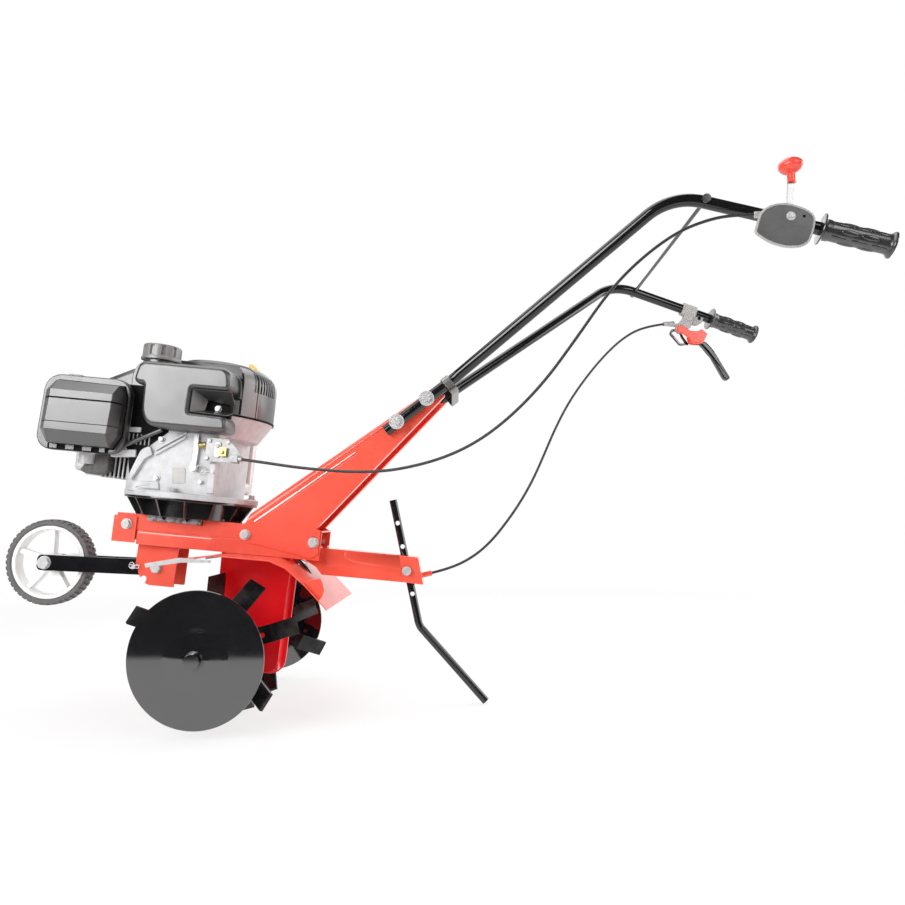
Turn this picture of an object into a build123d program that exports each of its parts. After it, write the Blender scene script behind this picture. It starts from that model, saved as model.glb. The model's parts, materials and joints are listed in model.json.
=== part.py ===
from build123d import *
import os
from math import cos, radians, sin, tan

# Petrol garden tiller. The model is drawn in the chassis frame: X to the rear, Z square to the deck,
# origin on the tine shaft. The whole machine is then leaned back and set on the ground.

# Stance and fits
CHASSIS_PITCH = 5.3
RUN = 0.05
FIT = 0.15
AIR = 0.5

# Lower frame
RAIL_FRONT = -192.0
RAIL_REAR = 134.0
RAIL_BOTTOM = 150.0
RAIL_HEIGHT = 25.0
RAIL_INNER = 27.0
RAIL_OUTER = 49.0
RAIL_WALL = 2.5
CASE_PLATE = 4.0
CASE_PLATE_FRONT = -62.0
CASE_PLATE_REAR = 100.0

# Engine deck
DECK_FRONT = -231.0
DECK_TOP = 203.0
SHEET = 3.0
DECK_SIDE = 48.0

# Front bracket
BRACKET_FRONT = -235.0
BRACKET_REAR = -194.0
BRACKET_LOW = 152.0
BRACKET_HIGH = 198.0

# Frame bolts
BOLT_R = 4.0
BOLT_AF = 13.0
BOLT_HEAD = 5.5
WASHER_R = 9.5
WASHER = 2.0
FRONT_BOLT = (-211.0, 184.0)
MIDDLE_BOLT = (0.0, 184.0)
SLOT_BOLT = (121.0, 181.0)
SLOT_LENGTH = 22.0

# Handle column
COLUMN_SIDE = 52.0
COLUMN_CORNER = 9.0
COLUMN_LIP = 12.0
COLUMN_FOOT = (4.0, 222.0)
COLUMN_TOP_FRONT = (298.0, 471.0)
COLUMN_TOP_REAR = (328.0, 464.0)
COLUMN_HEEL = (124.0, 206.0)

# Handle tubes
TUBE_R = 10.0
TUBE_WALL = 2.0
TUBE_GAP = 0.2
TUBE_START = (229.0, 388.5)
TUBE_SPLAY = (342.0, 495.0)
TUBE_BEND = (663.0, 228.0, 790.0)
TUBE_END = (990.0, 272.0, 720.0)
SPLAY_RADIUS = 60.0
BEND_RADIUS = 95.0
HANDLE_BOLT_FIRST = 25.7
HANDLE_BOLT_PITCH = 67.0
HANDLE_WASHER_R = 13.5
BRACE_R = 3.5
BRACE_BACK = 51.0
STRAP_WIDTH = 15.0
STRAP_WALL = 2.5
STRAP_BACK = 8.0
STRAP_DROP = 28.0
STRAP_CORNER = 10.0

# Grips
GRIP_LENGTH = 110.0
GRIP_R = 16.0
GRIP_FLANGE_R = 24.0
GRIP_END_R = 20.5
GRIP_FLANGE = 5.0
GRIP_CAP = 4.0

# Throttle control
THROTTLE_NEAR = -277.0
THROTTLE_SHELL = 15.0
THROTTLE_CLAMP_LENGTH = 36.0
THROTTLE_CLAMP_WALL = 4.0
THROTTLE_OUTLINE = [(-50, -27), (-46, 1), (-28, 18), (-4, 22.5), (28, 16), (40, 1), (40, -16), (32, -42),
                    (16, -49.5), (-6, -50), (-34, -44.5), (-49, -33)]
THROTTLE_PIVOT = (834.0, 751.0)
THROTTLE_PIN_R = 4.0
THROTTLE_HUB_R = 9.0
THROTTLE_LEVER_WIDTH = 9.0
THROTTLE_LEVER_THICK = 3.0
THROTTLE_LEVER_NEAR = -270.0
THROTTLE_LEVER_TOP = 57.0
THROTTLE_SWING = 30.0
THROTTLE_CORNER = 5.0
THROTTLE_BEVEL = 3.0
KNOB_R = 19.5
KNOB_HEIGHT = 25.0
KNOB_NECK_R = 6.5
KNOB_NECK = 24.0
KNOB_SEAT = 46.0

# Clutch control
CLUTCH_PIVOT = (823.0, 709.0)
CLUTCH_PIN_R = 3.5
CLUTCH_CLAMP_BACK = 180.0
CLUTCH_CLAMP_LENGTH = 32.0
CLUTCH_CLAMP_WALL = 5.0
CLUTCH_CHEEK = 3.0
CLUTCH_LEVER_THICK = 8.0
CLUTCH_BAR_WIDTH = 14.0
CLUTCH_BAR_THICK = 13.0
CLUTCH_BAR_START = (872.0, 687.0)
CLUTCH_BAR_TIP = (931.0, 609.0)
LATCH_THICK = 4.0
LATCH_WIDTH = 7.0

# Gear case
CASE_HALF = 34.0
CASE_WALL = 3.0
CASE_LEFT = -43.0
CASE_RIGHT = 82.0
CASE_BOTTOM = -53.0
CASE_TAPER = 4.0
CASE_CORNER = 20.0
CASE_FLANGE = 7.0
CASE_FLANGE_THICK = 3.0
SHAFT_BOSS_WALL = 6.0

# Worm drive
WORM_MODULE = 2.75
WHEEL_TEETH = 24
WHEEL_FACE = 10.0
WHEEL_HUB_R = 18.0
WORM_PITCH_R = 15.0
WORM_SHAFT_R = 10.0
WORM_TURNS = 7
WORM_BEARING_R = 21.0
WORM_BEARING_WIDTH = 12.0
WORM_BEARING_OFFSET = 41.0
WORM_FOOT = -47.5
WORM_HEAD = 198.0
SEAT_LIP = 1.0

# Tine rotor
TINE_SHAFT_R = 12.5
TINE_SHAFT_HALF = 140.0
TINE_BEARING_R = 26.0
TINE_BEARING_WIDTH = 15.0
HUB_R = 18.0
HUB_START = 40.0
HUB_END = 247.0
HUB_BORE_END = 205.0
STUB_R = 12.0
STUB_LENGTH = 15.0
DISC_SEAT_R = 14.0
STAR_FLANGE_R = 42.0
STAR_FLANGE = 5.0
INNER_STAR = 88.0
OUTER_STAR = 178.0
INNER_PHASE = {1: 20.0, -1: 14.0}
OUTER_PHASE = {1: 62.0, -1: 58.0}
INNER_OUTWARD = {1: (True, False, True, False), -1: (False, False, False, False)}
OUTER_OUTWARD = (False, True, False, True)
BLADE_WIDTH = 30.0
BLADE_THICK = 6.0
BLADE_ROOT = 21.0
BLADE_BEND_AT = 80.0
BLADE_BEND = 45.0
INNER_TIP = 54.0
OUTER_TIP = 63.0
BLADE_BOLT_AT = 31.0
BLADE_HOLE_AT = 65.0
DISC_R = 103.0
DISC_THICK = 3.0
DISC_DISH = 7.0
DISC_FLAT_R = 32.0
CLEVIS_AT = 62.0
CLEVIS_R = 4.0

# Tine guard
GUARD_HALF = 150.0
GUARD_FRONT = [(-130.0, 124.0), (-73.0, 140.0)]
GUARD_FLAT = (-22.0, 70.0)
GUARD_REAR = [(97.0, 141.0), (133.0, 115.0), (172.0, 80.0)]
GUARD_SHEET = 2.0
GUARD_SLOT_HALF = 40.0
GUARD_SLOT_REAR = 98.0

# Wheel and its bracket
WHEEL_CENTRE = (-360.5, 100.5)
WHEEL_R = 77.5
RIM_R = 66.0
RIM_WALL = 7.0
RIM_WIDTH = 26.0
TYRE_WIDTH = 30.0
SPOKES = 6
WHEEL_HUB_R = 17.0
AXLE_R = 6.0
WHEEL_ARM_INNER = 20.0
WHEEL_ARM_THICK = 5.0
WHEEL_ARM_HIGH = 28.0
WHEEL_PIVOT = (-157.6, 110.0)
WHEEL_PIVOT_R = 5.0
BRACKET_PLATE = 3.0
WHEEL_FOLD = 62.0
LOCK_PIN_R = 3.5
LOCK_PIN_AT = 38.5

# Rear arm and drag stake
ARM_HALF = 24.0
ARM_WALL = 3.0
ARM_TOP = 172.0
ARM_BOTTOM = 125.0
ARM_REAR = 271.0
CLAMP_REAR_TOP = 306.0
CLAMP_REAR_BOTTOM = 320.0
STAKE_R = 7.0
STAKE_PIN = (288.4, 146.0)
STAKE_LEAN = 17.5
STAKE_ABOVE = 130.0
STAKE_BELOW = 102.0
STAKE_KICK = 42.6
STAKE_BEND_R = 30.0
STAKE_HOLE_PITCH = 43.5
STAKE_PIN_R = 4.0

# Engine
CRANK_X = -118.0
RING_TOP = 236.0
RING_TOP_R = 116.0
RING_BODY_R = 88.0
RING_FOOT_STEP = 5.0
RING_RIBS = 14
RING_RIB_ROOT = 2.0
PAD_FRONT = -175.0
PAD_REAR = -78.0
PAD_WIDTH = 6.0
PAD_DROP = 10.0
PAD_PROUD = 1.0
FLANGE_OVERHANG = 1.0
FLANGE_THICK = 10.0
CASE_HALF_X = 97.0
CASE_HALF_Y = 98.0
CRANKCASE_TOP = 352.0
CRANKCASE_WALL = 7.0
BOWL_LOW = 350.0
BOWL_LOW_R = 104.0
BOWL_WALL = 4.0
CRANKCASE_CORNER = 38.0
CYLINDER_Z = 306.0
CYLINDER_R = 42.0
FIN_HALF_Y = 56.0
FIN_HALF_Z = 44.0
FIN_COUNT = 7
FIN_PITCH = 7.5
FIN_THICK = 2.5
HEAD_LENGTH = 32.0
HEAD_INSET = 4.0
ROCKER_LENGTH = 24.0
BLOWER_R = 128.0
BLOWER_BOTTOM = 388.0
BLOWER_TOP = 483.0
BLOWER_SHOULDER = 36.0
BLOWER_WALL = 3.0
BLOWER_FLAT = -57.0
BLOWER_STEP = 416.0
BLOWER_STEP_FLAT = -97.0
NOSE_HALF = 60.0
NOSE_FRONT = -286.0
NOSE_FRONT_TOP = 437.0
NOSE_CREST = (-236.0, 462.0)
NOSE_REAR = -196.0
NOSE_CORNER = 9.0
STARTER_R = 70.0
STARTER_TOP = 489.0
STARTER_MOUTH_R = 58.0
STARTER_SHIFT = (20.0, 12.0)
STARTER_EXIT = (-150.0, 132.0)
STARTER_Z = 432.0
STARTER_EYE_LENGTH = 14.0
STARTER_EYE_R = 12.0
STARTER_EYE_BORE = 30.0
STARTER_STEM = 14.0
STARTER_STEM_R = 8.0
STARTER_BAR_OUT = 20.0
STARTER_BAR_HALF = 42.0
STARTER_BAR_R = 10.0
ROPE_R = 2.5
ROPE_INSIDE = 110.0
ROPE_IN_STEM = 1.0
TANK_NEAR = -150.0
TANK_BOTTOM = 352.5
TANK_TOP = 462.0
TANK_CORNER = 7.2
TANK_EDGE = 6.0
TANK_UPPER = [(-64.0, 0.0), (80.0, 0.0), (100.0, -22.0), (107.0, -60.0)]
TANK_FOOT = (-46.0, 94.0)
TANK_STEP = [(-54.0, -44.0), (-77.0, -42.0), (-76.0, -20.0)]
TANK_NOTCH_X = 24.0
TANK_NOTCH_DEEP = 40.0
TANK_NOTCH_LOW = 384.0
TANK_NOTCH_HIGH = 420.0
TANK_WALL = 3.0
CAP_AT = (-166.0, -103.0)
CAP_R = 33.5
CAP_HEIGHT = 27.0
NECK_R = 27.0
NECK_TOP = 476.0
FILTER_BACK = -99.0
FILTER_SPLIT = -108.0
FILTER_NEAR = -163.0
FILTER_HINGE_Z = 298.0
FILTER_FRONT = -355.0
FILTER_REAR = -204.0
FILTER_LOW = 300.0
FILTER_HIGH = 429.0
FILTER_RIM = 14.0
FILTER_STEP = 6.0
FILTER_WALL = 2.5
FILTER_CORNER = 27.0
FILTER_TAPER = 19.0
CARB_AT = (-286.0, 318.0)
MUFFLER_FRONT = -336.0
MUFFLER_REAR = -238.0
MUFFLER_NEAR = 63.0
MUFFLER_DEEP = 60.0
MUFFLER_DROP = 6.0
MUFFLER_RISE = 68.0
MUFFLER_ROUND = 16.0
MUFFLER_PORT_RISE = 12.0
MUFFLER_PORT_R = 12.0
MUFFLER_PORT_IN = 1.0
DIP_AT = (-63.0, 142.0)
DIP_TUBE_R = 12.0
DIP_TUBE_TOP = 478.0
DIP_STICK_R = 3.0
DIP_STICK_LOW = 290.0
DIP_TUBE_WALL = 3.0
DIP_FOOT = 268.0
DIP_CAP_GAP = 0.3
DIP_CAP_HIGH = 10.0
DIP_CAP_OVER = 4.0
DIP_LOOP_HALF = 15.0
DIP_LOOP_SIDE = 4.0
DIP_LOOP_HIGH = 28.0
DIP_LOOP_ROUND = 8.0
DIP_SINK = 1.0
CONTROL_NEAR = -112.0
CONTROL_PIVOT = (-47.0, 331.0)
CABLE_CLAMP = (-16.0, 312.0)

# Belt drive
PULLEY_LOW = 178.0
PULLEY_HIGH = 196.0
DRIVE_PULLEY_R = 30.0
DRIVEN_PULLEY_R = 42.0
BELT_WIDTH = 12.0
BELT_THICK = 8.0
BELT_SINK = 1.0
GROOVE_DEPTH = 11.0
CRANK_R = 12.5
CRANK_THROW = 22.0
CRANK_WEB_R = 36.0
CRANK_WEB = 12.0
CRANK_PIN_HALF = 12.0
CRANK_TAIL = 6.0
CRANK_NOSE = 20.0
FLYWHEEL_R = 90.0
FLYWHEEL_LOW = 366.0
FLYWHEEL_HIGH = 392.0
FLYWHEEL_PLATE = 8.0
FLYWHEEL_RIM = 12.0
FLYWHEEL_HUB = 14.0
FAN_BLADES = 14
FAN_HEIGHT = 18.0
FAN_ROOT = 34.0
FAN_TIP = 2.0
FAN_THICK = 3.0
FAN_SINK = 1.0
IDLER_PIVOT = (0.0, -9.0)
IDLER_AT = (-36.0, 9.0)
IDLER_R = 11.0
IDLER_PIN_R = 4.0
IDLER_ARM_LOW = 171.0
IDLER_ARM_THICK = 4.0

# Bowden cables
CABLE_R = 2.5
THROTTLE_ROUTE = [(-3, -113, 312), (37, -119, 310), (84, -124, 307), (134, -129, 306), (190, -135, 307),
                  (244, -141, 313), (296, -147, 327), (344, -153, 346), (388, -160, 372), (428, -167, 406),
                  (465, -174, 447), (496, -181, 489), (521, -188, 530), (545, -196, 571), (569, -204, 613),
                  (597, -213, 654), (632, -223, 695), (675, -235, 731), (719, -248, 753), (753, -258, 760),
                  (782, -265, 759)]
CLUTCH_ROUTE = [(332, 14, 144), (366, 24, 155), (405, 40, 178), (436, 56, 208), (463, 73, 246),
                (490, 92, 291), (513, 111, 339), (532, 130, 390), (552, 149, 447), (577, 167, 506),
                (610, 185, 564), (649, 204, 621), (691, 221, 670), (738, 236, 704), (784, 247, 717)]

WHEEL_PITCH_R = WORM_MODULE * WHEEL_TEETH / 2
WORM_X = WHEEL_PITCH_R + WORM_PITCH_R
TUBE_Y = COLUMN_SIDE + TUBE_R + TUBE_GAP
FLANGE_R = RING_TOP_R + FLANGE_OVERHANG
RING_FOOT_R = RING_BODY_R + RING_FOOT_STEP
BEYOND = 400.0


def seen_from_left(y):
    """Plane at y with X to the rear and Z up, facing the machine's left."""
    return Plane(origin=(0, y, 0), x_dir=(1, 0, 0), z_dir=(0, -1, 0))


def side_plate(points, y_low, y_high, corner=0.0):
    """Plate with an outline in XZ, from y_low to y_high."""
    outline = Polygon(*points, align=None)
    if corner:
        outline = fillet(outline.vertices(), corner)
    return extrude(seen_from_left(y_high) * outline, y_high - y_low, dir=(0, -1, 0))


def block(x_low, x_high, y_low, y_high, z_low, z_high):
    """Box between two corners."""
    centre = ((x_low + x_high) / 2, (y_low + y_high) / 2, (z_low + z_high) / 2)
    return Pos(*centre) * Box(x_high - x_low, y_high - y_low, z_high - z_low)


def rod(start, end, radius):
    """Round bar between two points."""
    start, end = Vector(*start), Vector(*end)
    plane = Plane(origin=start, z_dir=end - start)
    return extrude(plane * Circle(radius), (end - start).length)


def cross_rod(x, z, y_low, y_high, radius):
    """Round bar along Y."""
    return rod((x, y_low, z), (x, y_high, z), radius)


def upright(x, y, z_low, z_high, radius):
    """Round bar along Z."""
    return rod((x, y, z_low), (x, y, z_high), radius)


def left_of(shape):
    """The same piece on the machine's left side."""
    return mirror(shape, about=Plane.XZ)


def turned(points, axis_x, axis_y):
    """Solid of revolution about a vertical line, from (radius, z) points."""
    outline = Plane.XZ * Polygon(*points, align=None)
    return Pos(axis_x, axis_y, 0) * revolve(outline, Axis.Z)


def spun_across(points):
    """Solid of revolution about the tine shaft, from (radius, y) points."""
    outline = Polygon(*points, align=None)
    return revolve(outline, Axis.Y)


def hex_bolt(x, z, y_face, side, shank, af=BOLT_AF, washer=WASHER_R, radius=BOLT_R):
    """Hex bolt with washer along Y, its head outside y_face on that side."""
    seat = y_face + side * WASHER
    head = seat + side * BOLT_HEAD
    ring = cross_rod(x, z, min(y_face, seat), max(y_face, seat), washer)
    plane = Plane(origin=(x, min(seat, head), z), x_dir=(1, 0, 0), z_dir=(0, 1, 0))
    hexagon = extrude(plane * RegularPolygon(af / 2, 6, major_radius=False), BOLT_HEAD)
    inner = y_face - side * shank
    return ring + hexagon + cross_rod(x, z, min(inner, y_face), max(inner, y_face), radius)


def tube_direction():
    """Unit vector along the last straight of the right handle tube."""
    return (Vector(*TUBE_END) - Vector(*TUBE_BEND)).normalized()


def foot_direction():
    """Unit vector along the part of the handle tubes that lies on the column."""
    return Vector(TUBE_SPLAY[0] - TUBE_START[0], 0, TUBE_SPLAY[1] - TUBE_START[1]).normalized()


def on_foot(distance, y):
    """Point on the handle tube's lower straight."""
    return Vector(TUBE_START[0], y, TUBE_START[1]) + foot_direction() * distance


def on_tube(distance):
    """Point on the right handle tube's last straight, from the bend."""
    return Vector(*TUBE_BEND) + tube_direction() * distance


TUBE_RUN = (Vector(*TUBE_END) - Vector(*TUBE_BEND)).length
GRIP_FROM = TUBE_RUN - GRIP_LENGTH + GRIP_CAP + TUBE_GAP
HANDLE_BOLTS = [on_foot(HANDLE_BOLT_FIRST + i * HANDLE_BOLT_PITCH, 0) for i in range(2)]


# Frame

def frame_rails():
    z_top = RAIL_BOTTOM + RAIL_HEIGHT
    rail = block(RAIL_FRONT, RAIL_REAR, RAIL_INNER, RAIL_OUTER, RAIL_BOTTOM, z_top)
    rail -= block(RAIL_FRONT, RAIL_REAR, RAIL_INNER + RAIL_WALL, RAIL_OUTER - RAIL_WALL,
                  RAIL_BOTTOM + RAIL_WALL, z_top - RAIL_WALL)
    plate = block(CASE_PLATE_FRONT, CASE_PLATE_REAR, -RAIL_INNER, RAIL_INNER,
                  RAIL_BOTTOM, RAIL_BOTTOM + CASE_PLATE)
    plate -= upright(WORM_X, 0, RAIL_BOTTOM, RAIL_BOTTOM + CASE_PLATE, WORM_SHAFT_R + AIR)
    pivot = upright(*IDLER_PIVOT, RAIL_BOTTOM + CASE_PLATE, IDLER_ARM_LOW + IDLER_ARM_THICK, IDLER_PIN_R)
    collar = upright(*IDLER_PIVOT, RAIL_BOTTOM + CASE_PLATE, IDLER_ARM_LOW - RUN, IDLER_PIN_R * 2)
    return rail + left_of(rail) + plate + pivot + collar


def engine_deck():
    z_low = RAIL_BOTTOM + RAIL_HEIGHT
    deck = block(DECK_FRONT, RAIL_REAR, -DECK_SIDE, DECK_SIDE, z_low, DECK_TOP)
    deck -= block(DECK_FRONT, RAIL_REAR, SHEET - DECK_SIDE, DECK_SIDE - SHEET, z_low, DECK_TOP - SHEET)
    deck -= upright(CRANK_X, 0, z_low, DECK_TOP, DRIVE_PULLEY_R + SHEET)
    for x, z in (FRONT_BOLT, MIDDLE_BOLT, SLOT_BOLT):
        deck -= cross_rod(x, z, -DECK_SIDE, DECK_SIDE, BOLT_R + FIT)
    return deck


def front_bracket():
    inside = DECK_SIDE + FIT
    outside = inside + SHEET
    shape = block(BRACKET_FRONT, BRACKET_REAR, -outside, outside, BRACKET_LOW, BRACKET_HIGH)
    shape -= block(BRACKET_FRONT + SHEET, BRACKET_REAR, -inside, inside, BRACKET_LOW, BRACKET_HIGH)
    return shape - cross_rod(*FRONT_BOLT, -outside, outside, BOLT_R + FIT)


def handle_column():
    side = COLUMN_SIDE
    wall = side - SHEET
    lean = Vector(COLUMN_TOP_FRONT[0] - COLUMN_FOOT[0], 0, COLUMN_TOP_FRONT[1] - COLUMN_FOOT[1]).normalized()
    drop = SHEET / lean.X
    toe = (MIDDLE_BOLT[0] - 13, MIDDLE_BOLT[1])
    heel_x = RAIL_REAR - SHEET
    outline = [(toe[0], toe[1] - 8), (toe[0], toe[1] + 13), (COLUMN_FOOT[0] - 6, DECK_TOP + 2), COLUMN_FOOT,
               COLUMN_TOP_FRONT, COLUMN_TOP_REAR, COLUMN_HEEL, (heel_x, DECK_TOP), (heel_x, RAIL_BOTTOM + 12),
               (heel_x - 11, RAIL_BOTTOM + SHEET), (toe[0] + 18, toe[1] - 13)]
    ahead = COLUMN_FOOT[0] - 40
    behind = COLUMN_TOP_FRONT[0] + 90
    grade = lean.Z / lean.X
    inside = [(ahead, RAIL_BOTTOM - 5), (ahead, COLUMN_FOOT[1] - drop - 40 * grade),
              (behind, COLUMN_TOP_FRONT[1] - drop + 90 * grade), (behind, RAIL_BOTTOM - 5)]
    body = side_plate(outline, -side, side)
    back = body.edges().filter_by(lambda e: e.length > 300 and abs(e.center().Y) > side - 1)
    back = back.filter_by(lambda e: abs((e @ 1 - e @ 0).normalized().dot(lean)) > 0.999)
    body = fillet(back, COLUMN_CORNER)
    hollow = side_plate(inside, -wall, wall)
    ridge = hollow.edges().filter_by(lambda e: abs((e @ 1 - e @ 0).normalized().dot(lean)) > 0.999)
    body -= fillet(ridge, COLUMN_CORNER - SHEET)
    low, high = Vector(COLUMN_HEEL[0], 0, COLUMN_HEEL[1]), Vector(COLUMN_TOP_REAR[0], 0, COLUMN_TOP_REAR[1])
    rise = (high - low).normalized()
    inward = Vector(-rise.Z, 0, rise.X) * SHEET
    lip = [low, high, high + inward, low + inward]
    strip = side_plate([(c.X, c.Z) for c in lip], wall - COLUMN_LIP, wall)
    body += [strip, left_of(strip)]
    for point in HANDLE_BOLTS:
        body -= cross_rod(point.X, point.Z, -side, side, BOLT_R + FIT)
    body -= cross_rod(*MIDDLE_BOLT, -side, side, BOLT_R + FIT)
    slot = SLOT_LENGTH / 2 - BOLT_R
    x, z = SLOT_BOLT
    body -= block(x - BOLT_R - FIT, x + BOLT_R + FIT, -side, side, z - slot, z + slot)
    body -= cross_rod(x, z - slot, -side, side, BOLT_R + FIT)
    body -= cross_rod(x, z + slot, -side, side, BOLT_R + FIT)
    return body


def arm_end():
    """Lower rear corner of the arm, whose end face is parallel to the stake."""
    return ARM_REAR + (ARM_TOP - ARM_BOTTOM) * tan(radians(STAKE_LEAN))


def rear_arm():
    outline = [(CASE_PLATE_REAR, ARM_TOP), (ARM_REAR, ARM_TOP), (arm_end(), ARM_BOTTOM),
               (RAIL_REAR + 3, ARM_BOTTOM), (RAIL_REAR - 9, ARM_BOTTOM + 13), (CASE_PLATE_REAR, RAIL_BOTTOM)]
    arm = side_plate(outline, -ARM_HALF, ARM_HALF)
    inner = [(CASE_PLATE_REAR, ARM_TOP - ARM_WALL), (ARM_REAR + 20, ARM_TOP - ARM_WALL),
             (ARM_REAR + 20, ARM_BOTTOM + ARM_WALL), (RAIL_REAR + 5, ARM_BOTTOM + ARM_WALL),
             (RAIL_REAR - 7, ARM_BOTTOM + 13 + ARM_WALL), (CASE_PLATE_REAR, RAIL_BOTTOM + ARM_WALL)]
    return arm - side_plate(inner, ARM_WALL - ARM_HALF, ARM_HALF - ARM_WALL)


def stake_direction():
    """Unit vector down the drag stake's upper leg."""
    return Vector(sin(radians(STAKE_LEAN)), 0, -cos(radians(STAKE_LEAN)))


def stake_clamp():
    outline = [(ARM_REAR, ARM_TOP), (CLAMP_REAR_TOP, ARM_TOP - 1), (CLAMP_REAR_BOTTOM, ARM_BOTTOM - 1),
               (arm_end(), ARM_BOTTOM)]
    clamp = side_plate(outline, -ARM_HALF, ARM_HALF)
    pin = Vector(STAKE_PIN[0], 0, STAKE_PIN[1])
    clamp -= rod(pin - stake_direction() * 40, pin + stake_direction() * 40, STAKE_R + AIR / 2)
    clamp -= cross_rod(*STAKE_PIN, -ARM_HALF, ARM_HALF, STAKE_PIN_R + RUN)
    end = Vector(*CLUTCH_ROUTE[0])
    way = (Vector(*CLUTCH_ROUTE[1]) - end).normalized()
    return clamp + rod(end - way * 22, end, CABLE_R * 2)


def wheel_bracket():
    inside = WHEEL_ARM_INNER + WHEEL_ARM_THICK + AIR
    outside = inside + BRACKET_PLATE
    x, z = WHEEL_PIVOT
    outline = [(RAIL_FRONT - 3, RAIL_BOTTOM), (x + 35.5, RAIL_BOTTOM), (x + 34.5, z - 32),
               (x - 9.5, z - 31), (x - 39.5, z - 22), (RAIL_FRONT - 4, z + 4.5)]
    shape = side_plate(outline, -outside, outside)
    shape -= block(RAIL_FRONT - 20, x + 60, -inside, inside, z - 60, RAIL_BOTTOM - BRACKET_PLATE)
    relief = cross_rod(x, z, -outside, outside, LOCK_PIN_AT + 30)
    relief -= cross_rod(x, z, -outside, outside, LOCK_PIN_AT - LOCK_PIN_R - 1.5)
    last = x - LOCK_PIN_AT * cos(radians(WHEEL_FOLD)) + 2 * LOCK_PIN_R + 2
    swept = [(x - 90, z + 5), (x - 33, z + 5), (last, z - 20), (last, z - 90), (x - 90, z - 90)]
    lower_left = side_plate(swept, -outside, outside)
    shape -= relief & lower_left
    return shape - cross_rod(x, z, -outside, outside, WHEEL_PIVOT_R + FIT)


def tine_guard():
    top = RAIL_BOTTOM - FIT
    path = GUARD_FRONT + [(x, top) for x in GUARD_FLAT] + GUARD_REAR
    lower = [(x, z - GUARD_SHEET) for x, z in path]
    sheet = side_plate(path + lower[::-1], -GUARD_HALF, GUARD_HALF)
    slot = block(-BEYOND, GUARD_SLOT_REAR, -GUARD_SLOT_HALF, GUARD_SLOT_HALF, 0, RAIL_BOTTOM)
    return sheet - slot


def frame_bolts():
    """Bolts, nuts and washers of the frame, handles and wheel pivot."""
    pieces = []
    for side in (-1, 1):
        bracket = DECK_SIDE + FIT + SHEET
        pieces.append(hex_bolt(*FRONT_BOLT, side * bracket, side, 12))
        pieces.append(hex_bolt(*MIDDLE_BOLT, side * COLUMN_SIDE, side, 12))
        pieces.append(hex_bolt(*SLOT_BOLT, side * COLUMN_SIDE, side, 12))
        for point in HANDLE_BOLTS:
            face = TUBE_Y + TUBE_R
            pieces.append(hex_bolt(point.X, point.Z, side * face, side, 30, washer=HANDLE_WASHER_R))
    x, z = WHEEL_PIVOT
    outside = WHEEL_ARM_INNER + WHEEL_ARM_THICK + AIR + BRACKET_PLATE
    pivot = hex_bolt(x, z, -outside, -1, outside, af=16, radius=WHEEL_PIVOT_R)
    pieces.append(pivot + left_of(pivot))
    return Compound(pieces)


# Gear case and tine rotor

def case_outline(grow):
    """Side outline of the gear case, grown or shrunk by an even margin."""
    left, right = CASE_LEFT - grow, CASE_RIGHT + grow
    points = [(left, RAIL_BOTTOM), (right, RAIL_BOTTOM), (right - CASE_TAPER, CASE_BOTTOM - grow),
              (left + CASE_TAPER, CASE_BOTTOM - grow)]
    outline = Polygon(*points, align=None)
    low = outline.vertices().sort_by(Axis.Y)[:2]
    return fillet(low, CASE_CORNER + grow)


def gearcase_right():
    plane = seen_from_left(0)
    right = (0, 1, 0)
    shell = extrude(plane * case_outline(0), CASE_HALF, dir=right)
    shell += extrude(plane * case_outline(CASE_FLANGE), CASE_FLANGE_THICK, dir=right)
    cavity = extrude(plane * case_outline(-CASE_WALL), CASE_HALF - CASE_WALL, dir=right)
    cavity -= block(-200, 200, 0, 100, RAIL_BOTTOM - CASE_WALL, RAIL_BOTTOM)
    shell -= cavity
    inner = CASE_HALF - SEAT_LIP - TINE_BEARING_WIDTH
    shell += cross_rod(0, 0, inner, CASE_HALF, TINE_BEARING_R + SHAFT_BOSS_WALL)
    shell -= cross_rod(0, 0, inner, CASE_HALF - SEAT_LIP, TINE_BEARING_R + FIT)
    shell -= cross_rod(0, 0, inner, CASE_HALF, TINE_SHAFT_R + AIR * 2)
    for centre in (-WORM_BEARING_OFFSET, WORM_BEARING_OFFSET):
        half = WORM_BEARING_WIDTH / 2
        web = block(WORM_X - WORM_BEARING_R - 5, CASE_RIGHT - CASE_WALL, 0, CASE_HALF - CASE_WALL,
                    centre - half - SEAT_LIP, centre + half + SEAT_LIP)
        web -= upright(WORM_X, 0, centre - 20, centre + 20, WORM_PITCH_R + AIR * 8)
        shell += web
        shell -= upright(WORM_X, 0, centre - half, centre + half, WORM_BEARING_R + FIT)
    return shell - upright(WORM_X, 0, WORM_BEARING_OFFSET, RAIL_BOTTOM, WORM_SHAFT_R + AIR)


def bearings():
    """Ball bearings of the tine shaft and the worm shaft."""
    pieces = []
    for side in (-1, 1):
        near = side * (CASE_HALF - SEAT_LIP - TINE_BEARING_WIDTH)
        far = side * (CASE_HALF - SEAT_LIP)
        low, high = min(near, far), max(near, far)
        pieces.append(cross_rod(0, 0, low, high, TINE_BEARING_R)
                      - cross_rod(0, 0, low, high, TINE_SHAFT_R + RUN))
        low = side * WORM_BEARING_OFFSET - WORM_BEARING_WIDTH / 2
        high = low + WORM_BEARING_WIDTH
        pieces.append(upright(WORM_X, 0, low, high, WORM_BEARING_R)
                      - upright(WORM_X, 0, low, high, WORM_SHAFT_R + RUN))
    return Compound(pieces)


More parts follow.
